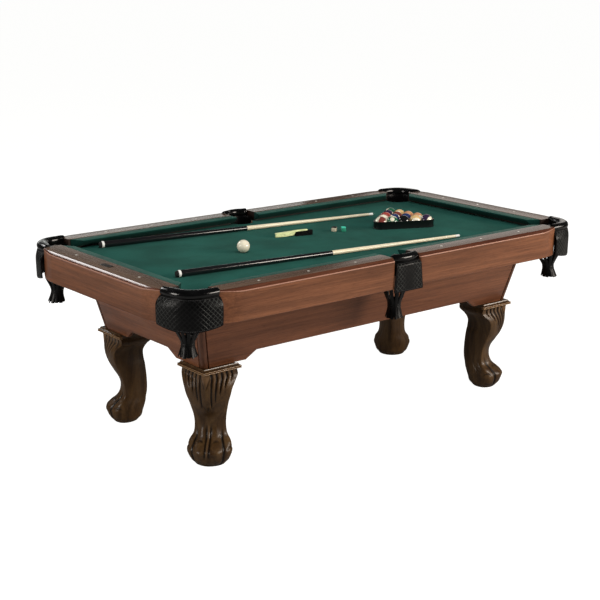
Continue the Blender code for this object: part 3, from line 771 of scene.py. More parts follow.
def make_shield(name, rim, columns, flip):
    """The quilted leather that hangs outside, with a stitched edge above and below."""
    points, outs, fields = shield_surface(rim, columns)
    back = points[:, ::-4] - outs * SHIELD_SHELL
    build = Build().skin([list(points[i]) + list(back[i]) for i in range(columns)])
    for row in (2, SHIELD_ROWS - 3):
        line = points[3:-3, row] + outs[3:-3, 0] * 0.0003
        make_stitches(build, list(line), list(outs[3:-3, 0]))
    piece = build.piece(name, [quilted, thread], "black_leather", flip=flip, sharp=60)
    for field, values in fields.items():
        levels = np.zeros(len(build.points))
        skin = levels[: columns * (SHIELD_ROWS + back.shape[1])].reshape(columns, -1)
        skin[:, :SHIELD_ROWS] = values
        piece.data.attributes.new(field, "FLOAT", "POINT").data.foreach_set("value", levels)


# For each kind of pocket: centre, how far the basket hangs to one side of its neck, its lean,
# its outline as (height, radius), and the height of its waist
BASKETS = {
    "corner": (
        CORNER_POCKET, (0.022, -0.004), (0.08, 0.08),
        ((0.547, 0.036), (0.560, 0.0325), (0.575, 0.0285), (0.590, 0.0255), (0.604, 0.0262),
         (0.625, 0.036), (0.655, 0.0535), (0.690, 0.0670), (0.7430, 0.0735)),
        0.593,
    ),
    "side": (
        SIDE_POCKET, (0.0, 0.0), (0.0, 0.0),
        ((0.529, 0.037), (0.543, 0.0335), (0.560, 0.0295), (0.580, 0.0265), (0.598, 0.0275),
         (0.625, 0.0385), (0.665, 0.0510), (0.700, 0.0600), (0.7430, 0.0635)),
        0.584,
    ),
}  # fmt: skip
STRIPS = 12
STRIP_SECTION = ((-1, -0.5), (-0.85, -1), (0.85, -1), (1, -0.5), (1, 0.5), (0.8, 1), (0, 1.5),
                 (-0.8, 1), (-1, 0.5))  # fmt: skip
TASSELS = 16
TASSEL_SECTION = ((-1, -1), (1, -1), (1, 1), (-1, 1))


def basket_at(kind, z):
    """The middle and radius of a basket at each of some heights."""
    centre, hang, lean, outline, _ = BASKETS[kind]
    z = np.atleast_1d(z)
    below = (0.743 - z)[:, None]
    middle = np.array(centre) + np.array(lean) * below + np.array(hang) * np.clip(below / 0.088, 0, 1)
    return [np.array((*xy, height)) for xy, height in zip(middle, z)], smooth_table(outline, z)[:, 0]


def strip_ring(spot, turn, skew, half, shell, section):
    """A strip's section, flat to the direction in which it lies from the basket's middle."""
    out, side = heading(turn), heading(turn + skew + math.pi / 2)
    return [spot + side * half * a + out * shell * b for a, b in section]


def make_basket(name, kind, flip, seed):
    """Leather strips that hang from a collar, are gathered at the waist, and end in a fringe."""
    draw = random.Random(seed)
    outline, waist = BASKETS[kind][3:]
    top, foot = outline[-1][0], outline[0][0]
    build = Build()
    for strip in range(STRIPS):
        angle = 2 * math.pi * (strip + draw.uniform(-0.08, 0.08)) / STRIPS
        end = foot + draw.uniform(0.0, 0.004)
        heights = np.concatenate([np.linspace(top, waist, 20), np.linspace(waist, end, 12)[1:]])
        sway, flare, twist = (draw.uniform(-s, s) for s in (0.06, 0.002, 0.25))
        rings = []
        for middle, radius in zip(*basket_at(kind, heights)):
            below = max(0.0, (waist - middle[2]) / (waist - end))
            above = max(0.0, (middle[2] - waist) / (top - waist))
            turn = angle + sway * below + 0.04 * math.sin(3.1 * above + strip)
            spot = middle + heading(turn) * (radius + flare * below)
            half = 0.0064 + 0.0030 * above + 0.0014 * below
            rings.append(strip_ring(spot, turn, twist * below, half, 0.0014, STRIP_SECTION))
        build.skin(rings)
    for tassel in range(TASSELS):
        angle = 2 * math.pi * (tassel + 0.5 + draw.uniform(-0.3, 0.3)) / TASSELS
        end = foot + draw.uniform(0.001, 0.006)
        heights = np.linspace(waist + 0.030, end, 9)
        rings = []
        for i, (middle, radius) in enumerate(zip(*basket_at(kind, heights))):
            turn = angle + draw.uniform(-0.01, 0.01)
            spot = middle + heading(turn) * (radius * (0.72 + 0.1 * i / (len(heights) - 1)))
            rings.append(strip_ring(spot, turn, 0.0, 0.0058, 0.0012, TASSEL_SECTION))
        build.skin(rings)
    # Two wavy cords round the waist, and the collar: (height, thickness, half height, wave)
    for z, thick, high, wave in ((waist + 0.0045, 0.0024, 0.0034, 0.0009),
                                 (waist - 0.0040, 0.0026, 0.0034, 0.0009),
                                 (top - 0.0080, 0.0022, 0.0090, 0.0)):  # fmt: skip
        (middle,), (radius,) = basket_at(kind, z)
        rings = []
        for step in range(36):
            turn = 2 * math.pi * step / 36
            out, up = heading(turn), np.array((0, 0, 1.0))
            spot = middle + up * wave * math.sin(turn * STRIPS) + out * (radius + 0.0004)
            rings.append([spot + out * thick * math.cos(a) + up * high * math.sin(a)
                          for a in (math.pi / 4 * k for k in range(8))])  # fmt: skip
        build.skin(rings, caps=False, loop=True)
    build.piece(name, [strap], "black_leather", flip=flip, sharp=50)


def make_pocket(node, kind, flip, seed):
    rim, columns = (corner_rim, 110) if kind == "corner" else (side_rim, 70)
    rims, liners = [], []
    for share, size in rim_stations():
        inner, outer = rim(share)[:2]
        edge = slimmed(inner, outer, share)
        rims.append(rim_ring(edge, outer, size))
        liners.append(liner_ring(inner, outer, edge))
    build = Build().skin(rims).skin(liners, look=1)
    build.piece(node + "_rim", [rolled, strap], "black_leather", node, flip=flip)
    make_shield(node + "_shield", rim, columns, flip)
    make_basket(node + "_basket", kind, flip, seed)


FIRST_SEED = 11


def make_pockets():
    """Each pocket's strips fall in their own way, by its seed."""
    seed = FIRST_SEED
    for side, sy in SIDES.items():
        make_pocket(f"pocket_{side}_middle", "side", (1, sy), seed)
        for end, sx in ENDS.items():
            seed += 1
            make_pocket(f"pocket_{side}_{end}", "corner", (sx, sy), seed)
        seed += 1


# ---------------------------------------------------------------- legs

# Height, reach to the toe, reach to the heel, half width, squareness, and how far ahead of the
# middle the leg is widest
LEG_STATIONS = (
    (0.000, 0.072, 0.035, 0.062, 1.8, 0.000),
    (0.018, 0.092, 0.054, 0.080, 1.8, 0.000),
    (0.042, 0.103, 0.062, 0.087, 1.8, 0.000),
    (0.067, 0.106, 0.070, 0.092, 1.7, 0.002),
    (0.092, 0.085, 0.077, 0.084, 1.6, 0.008),
    (0.115, 0.057, 0.080, 0.073, 1.5, 0.015),
    (0.135, 0.043, 0.083, 0.069, 1.4, 0.020),
    (0.165, 0.037, 0.084, 0.066, 1.3, 0.024),
    (0.204, 0.046, 0.083, 0.069, 1.3, 0.025),
    (0.240, 0.070, 0.080, 0.076, 1.3, 0.024),
    (0.267, 0.087, 0.077, 0.082, 1.3, 0.023),
    (0.300, 0.101, 0.071, 0.092, 1.2, 0.022),
    (0.335, 0.107, 0.072, 0.101, 1.2, 0.018),
    (0.360, 0.107, 0.088, 0.110, 1.1, 0.010),
    (0.382, 0.106, 0.111, 0.117, 1.05, 0.0),
    (0.398, 0.108, 0.1127, 0.115, 1.0, 0.0),
    (0.408, 0.1127, 0.1127, 0.1127, 1.0, 0.0),
)
LEG_POINTS = 264
# Rows of points, closest together at the foot and under the cap: (height, how many rows up to it)
LEG_ROWS = ((0.160, 86), (0.360, 52), (0.408, 24))
FLUTE_ENDS = (0.238, 0.270, 0.302, 0.328, 0.354)
FIRST_FLUTE = 0.20
FLUTE_STEP = 0.155


def leg_grid():
    """One leg's bare surface: rows of (forward, sideways, height), and where each point lies."""
    heights, low = np.zeros(1), 0.0
    for high, rows in LEG_ROWS:
        heights = np.concatenate([heights, np.linspace(low, high, rows + 1)[1:]])
        low = high
    table = smooth_table(LEG_STATIONS, heights)
    toe, heel, half, square, lead = (table[:, i][:, None] for i in range(5))
    quarter = LEG_POINTS // 4
    index = np.arange(LEG_POINTS)
    q = (index % quarter) / quarter
    side = index // quarter
    even_on_circle = (side + q) * math.pi / 2
    even_on_square = (side + np.arcsin(np.sqrt(q)) * 2 / math.pi) * math.pi / 2
    mix = np.clip(square - 1, 0, 1)
    angle = even_on_square[None, :] * (1 - mix) + even_on_circle[None, :] * mix
    c, s = np.cos(angle), np.sin(angle)
    widest = (toe - heel) / 2 + lead
    power = 2 / square
    forward = np.sign(c) * np.abs(c) ** power * np.where(c > 0, toe - widest, heel + widest) + widest
    sideways = np.sign(s) * np.abs(s) ** power * half
    grid = np.stack([forward, sideways, np.broadcast_to(heights[:, None], forward.shape)], axis=2)
    from_ridge = np.where(side == 0, q, np.where(side == 3, 1 - q, 2.0))
    return grid, from_ridge[None, :], forward - (toe - heel) / 2


def grid_normals(grid):
    around = np.roll(grid, -1, axis=1) - np.roll(grid, 1, axis=1)
    up = np.gradient(grid, axis=0)
    normal = np.cross(around, up)
    return normal / np.maximum(np.linalg.norm(normal, axis=2, keepdims=True), 1e-9)


# Toes and their knuckles: degrees from the front, spread, knuckle height, toe height, size
TOES = ((27, 14, 0.136, 0.070, 0.0060), (78, 17, 0.098, 0.052, 0.0080))


def carving(grid, from_ridge, ahead):
    """Height of the carving at each point, and how much of it is fine relief."""
    z = grid[:, :, 2]
    across = grid[:, :, 1]
    front = blend_in(ahead, 0.0, 0.02)
    fine = np.zeros(z.shape)
    # Flutes down the two outer faces, the longest beside the ridge, with rounded reeds between
    for k, end in enumerate(FLUTE_ENDS):
        middle = FIRST_FLUTE + FLUTE_STEP * k
        run = blend_in(z, end, end + 0.030)
        narrow = 0.013 + 0.015 * blend_in(z, end, end + 0.060)
        fine -= 0.0050 * run * bump_at(from_ridge, middle, narrow)
    reed = 0.5 - 0.5 * np.cos(2 * math.pi * (from_ridge - FIRST_FLUTE) / FLUTE_STEP)
    reeds = (from_ridge > FIRST_FLUTE) & (from_ridge < FIRST_FLUTE + 4 * FLUTE_STEP)
    fine += 0.0016 * reed * blend_in(z, 0.30, 0.37) * reeds
    # A folded leaf under the corner of the cap, and the long point in which it ends
    leaf = bump_at(z, 0.385, 0.020) * bump_at(np.abs(across), 0.0, 0.011 + 0.4 * np.clip(z - 0.345, 0, 0.05))
    fine += 0.0030 * front * leaf
    vein = np.abs(across) - 0.30 * np.clip(z - 0.330, 0, 0.08)
    fine -= 0.0026 * front * bump_at(vein, 0.0, 0.0026) * blend_in(z, 0.335, 0.350)
    point = np.abs(across) - 0.32 * np.clip(z - 0.232, 0, 0.04)
    fine -= 0.0020 * front * bump_at(point, 0.0, 0.0034) * bump_at(z, 0.248, 0.016)
    # The thin ridge between the two front toes
    ridge = (1 - blend_in(z, 0.135, 0.190)) * blend_in(z, 0.030, 0.060)
    fine += 0.0022 * front * ridge * bump_at(across, 0.0, 0.0030)
    fine -= 0.0034 * front * ridge * bump_at(np.abs(across), 0.0090, 0.0050)
    # The foot: knuckles, toes and the creases between them
    turn = np.degrees(np.arctan2(across, ahead))
    part = np.abs(turn)
    broad = np.zeros(z.shape)
    for middle, spread, knuckle, low, size in TOES:
        broad += size * bump_at(part, middle, spread) * bump_at(z, knuckle, 0.022)
        broad += size * 0.95 * bump_at(part, middle, spread * 1.15) * bump_at(z, low, 0.026)
        fold = z - (0.5 * (knuckle + low) + 0.002) + 0.00055 * (part - middle) ** 2 / spread
        fine -= 0.0028 * bump_at(part, middle, spread * 0.9) * bump_at(fold, 0.0, 0.0040)
        nail = z - 0.022 - 0.0008 * (part - middle) ** 2 / spread
        fine -= 0.0016 * bump_at(part, middle, spread * 0.8) * bump_at(nail, 0.0, 0.0040)
    toes = 1 - blend_in(z, 0.100, 0.170)
    fine -= 0.0046 * toes * bump_at(part, 53, 4.5)
    fine -= 0.0010 * toes * bump_at(part, 110, 6.0)
    broad -= 0.0025 * toes
    return broad + fine, fine


LEG_SPREAD = 0.1127


def make_leg(name, flip):
    grid, from_ridge, ahead = leg_grid()
    height, fine = carving(grid, from_ridge, ahead)
    fade = blend_in(grid[:, :, 2], 0.0, 0.010)
    top = 1 - blend_in(grid[:, :, 2], 0.4045, 0.4075)
    normal = grid_normals(grid)
    normal[:, :, 2] *= 0.3
    grid = grid + normal * (height * fade * top)[:, :, None]
    # The fine carving's height as relief: painted shade in its hollows and a painted highlight on its raised
    # parts
    relief = np.clip(0.5 + fine / 0.007, 0, 1)
    seat = EAR_BOTTOM - GAP
    rings = list(grid)
    # The square block over the carving: (half width, height)
    for half, z in ((LEG_TOP_HALF, 0.4082), (LEG_TOP_HALF, seat), (LEG_BLOCK_HALF, seat + GAP),
                    (LEG_BLOCK_HALF, LEG_BLOCK_TOP)):  # fmt: skip
        ring = grid[-1] * (half * math.sqrt(2) / LEG_SPREAD)
        ring[:, 2] = z
        rings.append(ring)
    levels = np.full(len(rings) * LEG_POINTS, 0.5)
    levels[: relief.size] = relief.ravel()
    turn = math.sqrt(0.5)
    placed = [[(LEG_X + (f - s) * turn, LEG_Y + (f + s) * turn, z) for f, s, z in ring] for ring in rings]
    build = Build().skin(placed, relief=list(levels))
    build.piece(name + "_carved", [carved], "dark_walnut", name, flip=flip, sharp=65)


def make_leg_cap(name, flip):
    """The double bead round a leg's outer faces, and the cove over it."""
    x_in, y_in = (c + LEG_TOP_HALF + GAP for c in (LEG_X, LEG_Y))
    # Height, how far in from the cap's face, and how light it is painted: painted highlight on the beads'
    # crowns, painted shade between and under them
    profile = [(CAP_BOTTOM, 0.0045, 0.3)]
    for centre, radius in ((0.0033, 0.0030), (0.0097, 0.0031)):
        for turn in (math.radians(a) for a in range(-80, 81, 20)):
            profile.append((CAP_BOTTOM + centre + radius * math.sin(turn),
                            0.0036 - 0.0036 * math.cos(turn), 0.45 + 0.5 * math.cos(turn) ** 3))  # fmt: skip
        profile.append((CAP_BOTTOM + centre + radius + 0.0002, 0.0042, 0.1))
    profile[-1:] = [(CAP_TOP, 0.0040, 0.3), (CAP_TOP + 0.0015, 0.0065, 0.5),
                    (CAP_TOP + 0.0045, 0.0090, 0.5), (CAP_TOP + 0.0090, 0.0105, 0.5)]  # fmt: skip
    rings, relief = [], []
    for z, inset, level in profile:
        x_out, y_out = LEG_X + CAP_HALF - inset, LEG_Y + CAP_HALF - inset
        x_back, y_back = LEG_X - CAP_HALF + inset, LEG_Y - CAP_HALF + inset
        ring = [(x_back, y_in), (x_in, y_in), (x_in, y_back)]
        ring += [(x_out, y_back), (x_out, y_out), (x_back, y_out)]
        rings.append([(x, y, z) for x, y in ring])
        relief += [level] * len(ring)
    build = Build().skin(rings, relief=relief)
    build.piece(name + "_bead", [moulding], "dark_walnut", name, flip=flip, sharp=50)


def make_legs():
    for end, sx in ENDS.items():
        for side, sy in SIDES.items():
            make_leg(f"leg_{side}_{end}", (sx, sy))
            make_leg_cap(f"leg_cap_{side}_{end}", (sx, sy))


# ---------------------------------------------------------------- play set


def make_cue(name, butt, tip, joint):
    """A two-piece cue: bumper, ring, black butt, joint collar, maple shaft, ferrule and tip."""
    r, t, end = CUE_BUTT_RADIUS, CUE_TIP_RADIUS, CUE_LENGTH

    def radius(along):
        return r + (0.0105 - r) * along / CUE_JOINT

    rubber, black, white, maple, leather_tip = range(5)
    profile = [
        (0.0, 0.0060, rubber), (0.0003, r * 0.74, rubber), (0.0020, r * 0.84, rubber),
        (0.0080, r * 0.90, rubber), (0.0090, r * 0.92, rubber), (0.0091, r, white),
        (0.0100, r * 1.012, white), (0.0190, r * 1.012, white), (0.0200, r, white),
        (0.0201, radius(0.021), black), (0.200, radius(0.2), black), (0.45, radius(0.45), black),
        (joint - 0.012, radius(joint - 0.012), black), (joint - 0.0118, 0.01085, black),
        (joint - 0.0010, 0.01075, black), (joint - 0.0008, 0.0101, black), (joint, 0.0101, maple),
        (joint + 0.0002, 0.0105, maple), (1.0, 0.0090, maple), (1.25, 0.0076, maple),
        (end - 0.026, t * 1.03, maple), (end - 0.0258, t * 1.03, white), (end - 0.0062, t, white),
        (end - 0.0060, t * 1.02, leather_tip), (end - 0.0020, t * 0.98, leather_tip),
        (end - 0.0006, t * 0.70, leather_tip), (end, t * 0.30, leather_tip),
    ]  # fmt: skip
    start = Vector((*butt, REST + r + 0.0008))
    aim = Vector((*tip, REST + t + 0.0008)) - start
    tones = (0.70, 0.58, 0.38), (0.84, 0.75, 0.54), (0.92, 0.86, 0.68)
    turn = (0, 0, -math.atan2(aim.y, aim.x))
    shaft = wood(f"maple {name}", "x", tones, 0.26, 0.5, turn, 3.0)
    build = lathe(Build(), profile, start, aim, sides=32)
    looks = [bumper, lacquer, collar, shaft, chalked]
    build.piece(name + "_turned", looks, "cue_shaft", name, body=name, sharp=35)


BALL_TONES = {
    "yellow": (0.66, 0.45, 0.20),
    "blue": (0.022, 0.035, 0.12),
    "red": (0.36, 0.060, 0.048),
    "purple": (0.035, 0.020, 0.055),
    "orange": (0.56, 0.27, 0.13),
    "green": (0.020, 0.11, 0.06),
    "maroon": (0.18, 0.040, 0.032),
    "black": (0.006, 0.006, 0.007),
}
IVORY = (0.78, 0.73, 0.58)
# The racked balls, row by row from the apex: tone, and whether the ball is striped
RACKED = (
    ("maroon", True), ("green", True), ("red", True), ("black", False), ("blue", True),
    ("red", False), ("yellow", True), ("blue", False), ("maroon", False), ("purple", False),
    ("purple", True), ("orange", True), ("orange", False), ("yellow", False), ("green", False),
)  # fmt: skip
CUE_BALL = (-0.393, -0.001)
BALL_STEPS = 28


def ball_look(tone, striped):
    """Polished resin: a colour all over or as a broad band, with two pale spots."""
    name = f"resin {tone}" + (" striped" if striped else "")
    look = Look(name, 0.06, Coat_Weight=0.6, Coat_Roughness=0.03)
    place = look.node("TexCoord", {}).outputs["Object"]
    split = look.node("SeparateXYZ", {"Vector": place})
    height = look.math("ABSOLUTE", split.outputs["Z"])
    spot = look.math("GREATER_THAN", look.math("ABSOLUTE", split.outputs["X"]), BALL_RADIUS * 0.925)
    mottle = look.noise(place, 90.0, 3.0, 0.6)
    colour = look.ramp(mottle, (0.3, times(BALL_TONES[tone], 0.9)), (0.7, BALL_TONES[tone]))
    if striped:
        pale = look.math("GREATER_THAN", height, BALL_RADIUS * 0.52)
        colour = look.mix(pale, colour, IVORY)
    return look.paint(look.mix(spot, colour, IVORY))


def racked(row, aside):
    """Where a racked ball's centre lies: rows behind the apex ball, and ball widths aside."""
    spacing = 2 * BALL_RADIUS + GAP
    back, side = row * spacing * math.sqrt(3) / 2, aside * spacing
    c, s = math.cos(RACK_TURN), math.sin(RACK_TURN)
    return RACK_APEX_BALL[0] + back * c - side * s, RACK_APEX_BALL[1] + back * s + side * c


def place_ball(node, spot, look, slot, body, draw):
    """A ball turned at random about its own middle."""
    rings = []
    for polar in (math.pi * i / BALL_STEPS for i in range(1, BALL_STEPS)):
        circle = arc((0, 0), BALL_RADIUS * math.sin(polar), 0, 360, 48)[:-1]
        rings.append([(x, y, -BALL_RADIUS * math.cos(polar)) for x, y in circle])
    axis = Vector([draw.uniform(-1, 1) for _ in range(3)]).normalized()
    turn = Matrix.Rotation(draw.uniform(0, 2 * math.pi), 4, axis)
    place = Matrix.Translation((*spot, REST + BALL_RADIUS)) @ turn
    Build().skin(rings).piece(node + "_resin", [look], slot, node, body=body, place=place)


def make_balls():
    draw = random.Random(3)
    looks = {key: ball_look(*key) for key in dict.fromkeys(RACKED)}
    spots = [racked(row, place - row / 2) for row in range(5) for place in range(row + 1)]
    for number, (key, spot) in enumerate(zip(RACKED, spots), 1):
        place_ball(f"ball_{number:02d}", spot, looks[key], "ball_" + key[0], "racked_balls", draw)
    ivory = plain("ivory resin", IVORY, 0.08, speckle=60.0, contrast=0.04, coat=0.6, depth=0.000003)
    place_ball("cue_ball", CUE_BALL, ivory, "cue_ball", "cue_ball", draw)


def rack_outline(offset):
    """The triangle's line, at a distance from the corner balls' centres."""
    points = []
    for centre, first in ((racked(0, 0), 120), (racked(4, -2), 240), (racked(4, 2), 0)):
        first += math.degrees(RACK_TURN)
        points += arc(centre, offset, first, first + 120, 14)
    return points


def make_rack():
    """The triangle: a moulded wall with a rolled top edge and a foot flange."""
    # How far out from the balls, and height
    profile = (
        (0.0, 0.0006), (0.0006, 0.0), (0.0064, 0.0), (0.0070, 0.0008), (0.0070, 0.0030),
        (0.0060, 0.0042), (0.0060, 0.0300), (0.0070, 0.0318), (0.0070, 0.0345), (0.0058, 0.0360),
        (0.0014, 0.0360), (0.0, 0.0346),
    )  # fmt: skip
    loops = [[(x, y, REST + z) for x, y in rack_outline(BALL_RADIUS + 0.001 + out)] for out, z in profile]
    build = Build().skin(list(zip(*loops)), caps=False, loop=True)
    build.piece("triangle_rack_moulded", [rack_black], "rack_plastic", "triangle_rack",
                body="triangle_rack", sharp=35)  # fmt: skip


BRUSH_HEEL = (-0.090, 0.161, REST)
BRUSH_TIP = (0.085, 0.111, REST)
# Along the handle: half width, underside and top
HANDLE = (
    (0.000, 0.0060, 0.0020, 0.0160), (0.001, 0.0085, 0.0006, 0.0182), (0.004, 0.0096, 0.0002, 0.0195),
    (0.050, 0.0104, 0.0008, 0.0220), (0.086, 0.0108, 0.0040, 0.0245), (0.092, 0.0108, 0.0100, 0.0255),
    (0.097, 0.0108, 0.0190, 0.0260), (0.125, 0.0104, 0.0205, 0.0268), (0.152, 0.0098, 0.0212, 0.0275),
    (0.158, 0.0080, 0.0216, 0.0272), (0.160, 0.0050, 0.0225, 0.0264),
)  # fmt: skip
BRISTLE_SECTION = ((-1, -0.5), (0, -1), (1, -0.5), (1, 0.5), (0, 1), (-1, 0.5))


def make_brush():
    """The bed brush: a pale handle that thins to a strip over rows of dark bristles."""
    start = Vector(BRUSH_HEEL)
    forward = (Vector(BRUSH_TIP) - start).normalized()
    up = Vector((0, 0, 1))
    sideways = forward.cross(up)
    rings = []
    for along, half, low, high in HANDLE:
        soft = min(0.003, (high - low) / 2.2, half / 2.2)
        outline = rounded_box((-half, low), (half, high), soft, soft, 4)
        rings.append([start + forward * along + sideways * a + up * b for a, b in outline])
    build = Build().skin(rings)
    draw = random.Random(5)
    for row, column in ((row, column) for row in range(39) for column in range(5)):
        along = 0.100 + 0.0022 * row + draw.uniform(-0.0005, 0.0005)
        aside = (column - 2) * 0.0042 * math.sqrt(1 - max(0.0, (row - 31) / 9) ** 2)
        base = start + forward * along + sideways * aside + up * 0.0225
        splay = sideways * (aside * 0.25 + draw.uniform(-0.0012, 0.0012))
        splay += forward * draw.uniform(-0.001, 0.001)
        rings = []
        for share, thick in ((0.0, 0.0016), (0.5, 0.0018), (1.0, 0.0019)):
            spot = base + splay * share - up * 0.0222 * share
            rings.append([spot + forward * a * thick * 0.75 + sideways * b * thick
                          for a, b in BRISTLE_SECTION])  # fmt: skip
        build.skin(rings, look=1)
    build.piece("bed_brush_made", [brush_wood, bristle], "brush_wood", "bed_brush", body="bed_brush")


# A chalk cube from its foot, over the rim and into the hollow: height, how far inside the full
# width, rounding, and what shows there: 0 the sleeve, 1 the chalk
CHALK = (
    (0.0, 0.0008, 0.0012, 0), (0.0008, 0.0002, 0.0014, 0), (0.0012, 0.0, 0.0014, 0),
    (0.0170, 0.0, 0.0014, 0), (0.0174, 0.0004, 0.0014, 1), (0.0208, 0.0005, 0.0018, 1),
    (0.0220, 0.0016, 0.0022, 1), (0.0219, 0.0032, 0.0050, 1), (0.0206, 0.0046, 0.0055, 1),
    (0.0192, 0.0066, 0.0040, 1), (0.0186, 0.0090, 0.0018, 1),
)  # fmt: skip


def make_chalk(name, spot, turn, looks, slot):
    """A chalk cube in its paper sleeve, with a dished top."""
    c, s = math.cos(math.radians(turn)), math.sin(math.radians(turn))
    rings = []
    for z, inset, soft, _ in CHALK:
        reach = CHALK_SIDE / 2 - inset
        outline = rounded_box((-reach, -reach), (reach, reach), soft, soft, 4)
        rings.append([(spot[0] + a * c - b * s, spot[1] + a * s + b * c, REST + z) for a, b in outline])
    build = Build().skin(rings, bands=[level[3] for level in CHALK])
    build.piece(name + "_cube", looks, slot, name, body=name, sharp=35)


# ---------------------------------------------------------------- stage, lights and camera

FLOOR_HALF = 60.0
FLOOR_GLOW = 0.97
STUDIO_FILL = 0.05
# Name, place, what it points at, size, watts, colour, whether glossy surfaces mirror it
LIGHTS = (
    ("key", (-1.0, -2.5, 5.0), (0.0, 0.0, 0.7), (4.0, 4.0), 208, (1.0, 0.99, 0.97), False),
    ("front_right", (3.2, -4.3, 2.0), (0.6, 0.0, 0.6), (3.4, 1.4), 245, (1.0, 0.91, 0.81), True),
    ("back_left", (-1.5, 3.6, 3.0), (-0.9, 0.0, 0.7), (1.5, 1.1), 40, (0.98, 0.97, 0.96), True),
    ("left", (-4.9, 0.57, 1.6), (-0.8, 0.0, 0.6), (1.6, 1.2), 85, (1.0, 0.94, 0.88), True),
    ("back_right", (4.6, 3.0, 2.1), (0.4, 0.0, 0.8), (2.6, 1.6), 12, (1.0, 0.94, 0.88), True),
    ("behind", (0.2, 1.9, 1.04), (0.1, 0.4, 0.80), (2.4, 0.18), 2.0, (0.98, 1.0, 0.96), True),
)


def make_stage():
    """A plain pale floor, which the camera sees a little brighter than the object does."""
    mesh = bpy.data.meshes.new("floor")
    far = FLOOR_HALF
    mesh.from_pydata([(-far, -far, 0), (far, -far, 0), (far, far, 0), (-far, far, 0)], [], [(0, 1, 2, 3)])
    floor = bpy.data.objects.new("floor", mesh)
    look = Look("pale floor", 0.95, Specular_IOR_Level=0.0, Emission_Color=(1.0, 1.0, 0.99, 1))
    look.paint(look.ramp(look.noise(look.space(), 0.4, 2.0), (0.0, 0.34), (1.0, 0.36)))
    seen = look.node("LightPath", {}).outputs["Is Camera Ray"]
    glow = look.math("MULTIPLY", seen, FLOOR_GLOW)
    look.tree.links.new(glow, look.shader.inputs["Emission Strength"])
    mesh.materials.append(look.material)
    bpy.context.scene.collection.objects.link(floor)


def make_lights():
    world = bpy.data.worlds.new("studio")
    world.use_nodes = True
    tree = world.node_tree
    background = tree.nodes["Background"]
    background.inputs["Color"].default_value = (1.0, 1.0, 1.0, 1)
    seen = tree.nodes.new("ShaderNodeLightPath").outputs["Is Camera Ray"]
    level = tree.nodes.new("ShaderNodeMapRange")
    level.inputs["To Min"].default_value = STUDIO_FILL
    level.inputs["To Max"].default_value = 1.0
    tree.links.new(seen, level.inputs["Value"])
    tree.links.new(level.outputs[0], background.inputs["Strength"])
    bpy.context.scene.world = world
    for name, place, target, size, watts, colour, mirrored in LIGHTS:
        data = bpy.data.lights.new(name, "AREA")
        data.shape = "RECTANGLE"
        data.size, data.size_y = size
        data.energy = watts
        data.color = colour
        light = bpy.data.objects.new(name, data)
        light.location = place
        light.rotation_euler = (Vector(target) - Vector(place)).to_track_quat("-Z", "Y").to_euler()
        light.visible_camera = False
        light.visible_glossy = mirrored
        bpy.context.scene.collection.objects.link(light)


CAMERA_PLACE = (-3.651, -4.451, 2.022)
CAMERA_YAW = 0.8942
CAMERA_PITCH = -0.2626
CAMERA_ROLL = 0.0019
CAMERA_LENS = 77.23
CAMERA_SHIFT = (0.0009, 0.0053)


def make_camera():
    data = bpy.data.cameras.new("camera")
    data.sensor_width = 36.0
    data.lens = CAMERA_LENS
    data.shift_x, data.shift_y = CAMERA_SHIFT
    data.clip_end = 200.0
    camera = bpy.data.objects.new("camera", data)
    level, climb = math.cos(CAMERA_PITCH), math.sin(CAMERA_PITCH)
    forward = Vector((level * math.cos(CAMERA_YAW), level * math.sin(CAMERA_YAW), climb))
    right = Vector((math.sin(CAMERA_YAW), -math.cos(CAMERA_YAW), 0.0))
    up = right.cross(forward)
    c, s = math.cos(CAMERA_ROLL), math.sin(CAMERA_ROLL)
    axes = Matrix((right * c + up * s, up * c - right * s, -forward)).transposed()
    camera.matrix_world = Matrix.Translation(CAMERA_PLACE) @ axes.to_4x4()
    bpy.context.scene.collection.objects.link(camera)
    bpy.context.scene.camera = camera


# ---------------------------------------------------------------- everything together

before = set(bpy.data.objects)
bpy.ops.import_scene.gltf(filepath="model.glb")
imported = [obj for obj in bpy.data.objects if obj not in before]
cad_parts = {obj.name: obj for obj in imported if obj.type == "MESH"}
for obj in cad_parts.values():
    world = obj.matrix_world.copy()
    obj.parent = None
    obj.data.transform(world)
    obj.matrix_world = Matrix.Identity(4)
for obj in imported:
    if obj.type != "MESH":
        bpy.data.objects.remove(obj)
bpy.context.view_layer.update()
bpy.context.scene.view_settings.view_transform = "Standard"
make_camera()


def both_ways(name, tones, *finish):
    """The same wood with its grain along x and along y."""
    return {axis: wood(f"walnut {name} {axis}", axis, tones, *finish) for axis in "xy"}


apron = both_ways("apron", ((0.105, 0.039, 0.018), (0.190, 0.071, 0.032), (0.27, 0.105, 0.048)))
panel = both_ways("panel", ((0.115, 0.042, 0.020), (0.200, 0.075, 0.036), (0.28, 0.110, 0.052)))
top_board = both_ways("top", ((0.060, 0.034, 0.022), (0.115, 0.070, 0.047), (0.17, 0.110, 0.075)), 0.25)
arris_tones = (0.035, 0.011, 0.006), (0.075, 0.024, 0.013), (0.12, 0.042, 0.022)
arris_wood = both_ways("arris", arris_tones, 0.22, 0.6)
post = wood("walnut post z", "z", ((0.055, 0.021, 0.011), (0.12, 0.047, 0.024), (0.20, 0.082, 0.040)))
stain = (0.010, 0.005, 0.004), (0.018, 0.009, 0.006), (0.028, 0.014, 0.009)
end_stain = wood("stained end", "z", stain, 0.5, 0.0)
pine = wood("planed pine", "y", ((0.42, 0.27, 0.14), (0.56, 0.40, 0.23), (0.66, 0.50, 0.31)), 0.6, 0.0)
pale_wood = (0.70, 0.76, 0.34), (0.82, 0.88, 0.46), (0.90, 0.94, 0.60)
brush_wood = wood("pale brush wood", "x", pale_wood, 0.4, 0.2)
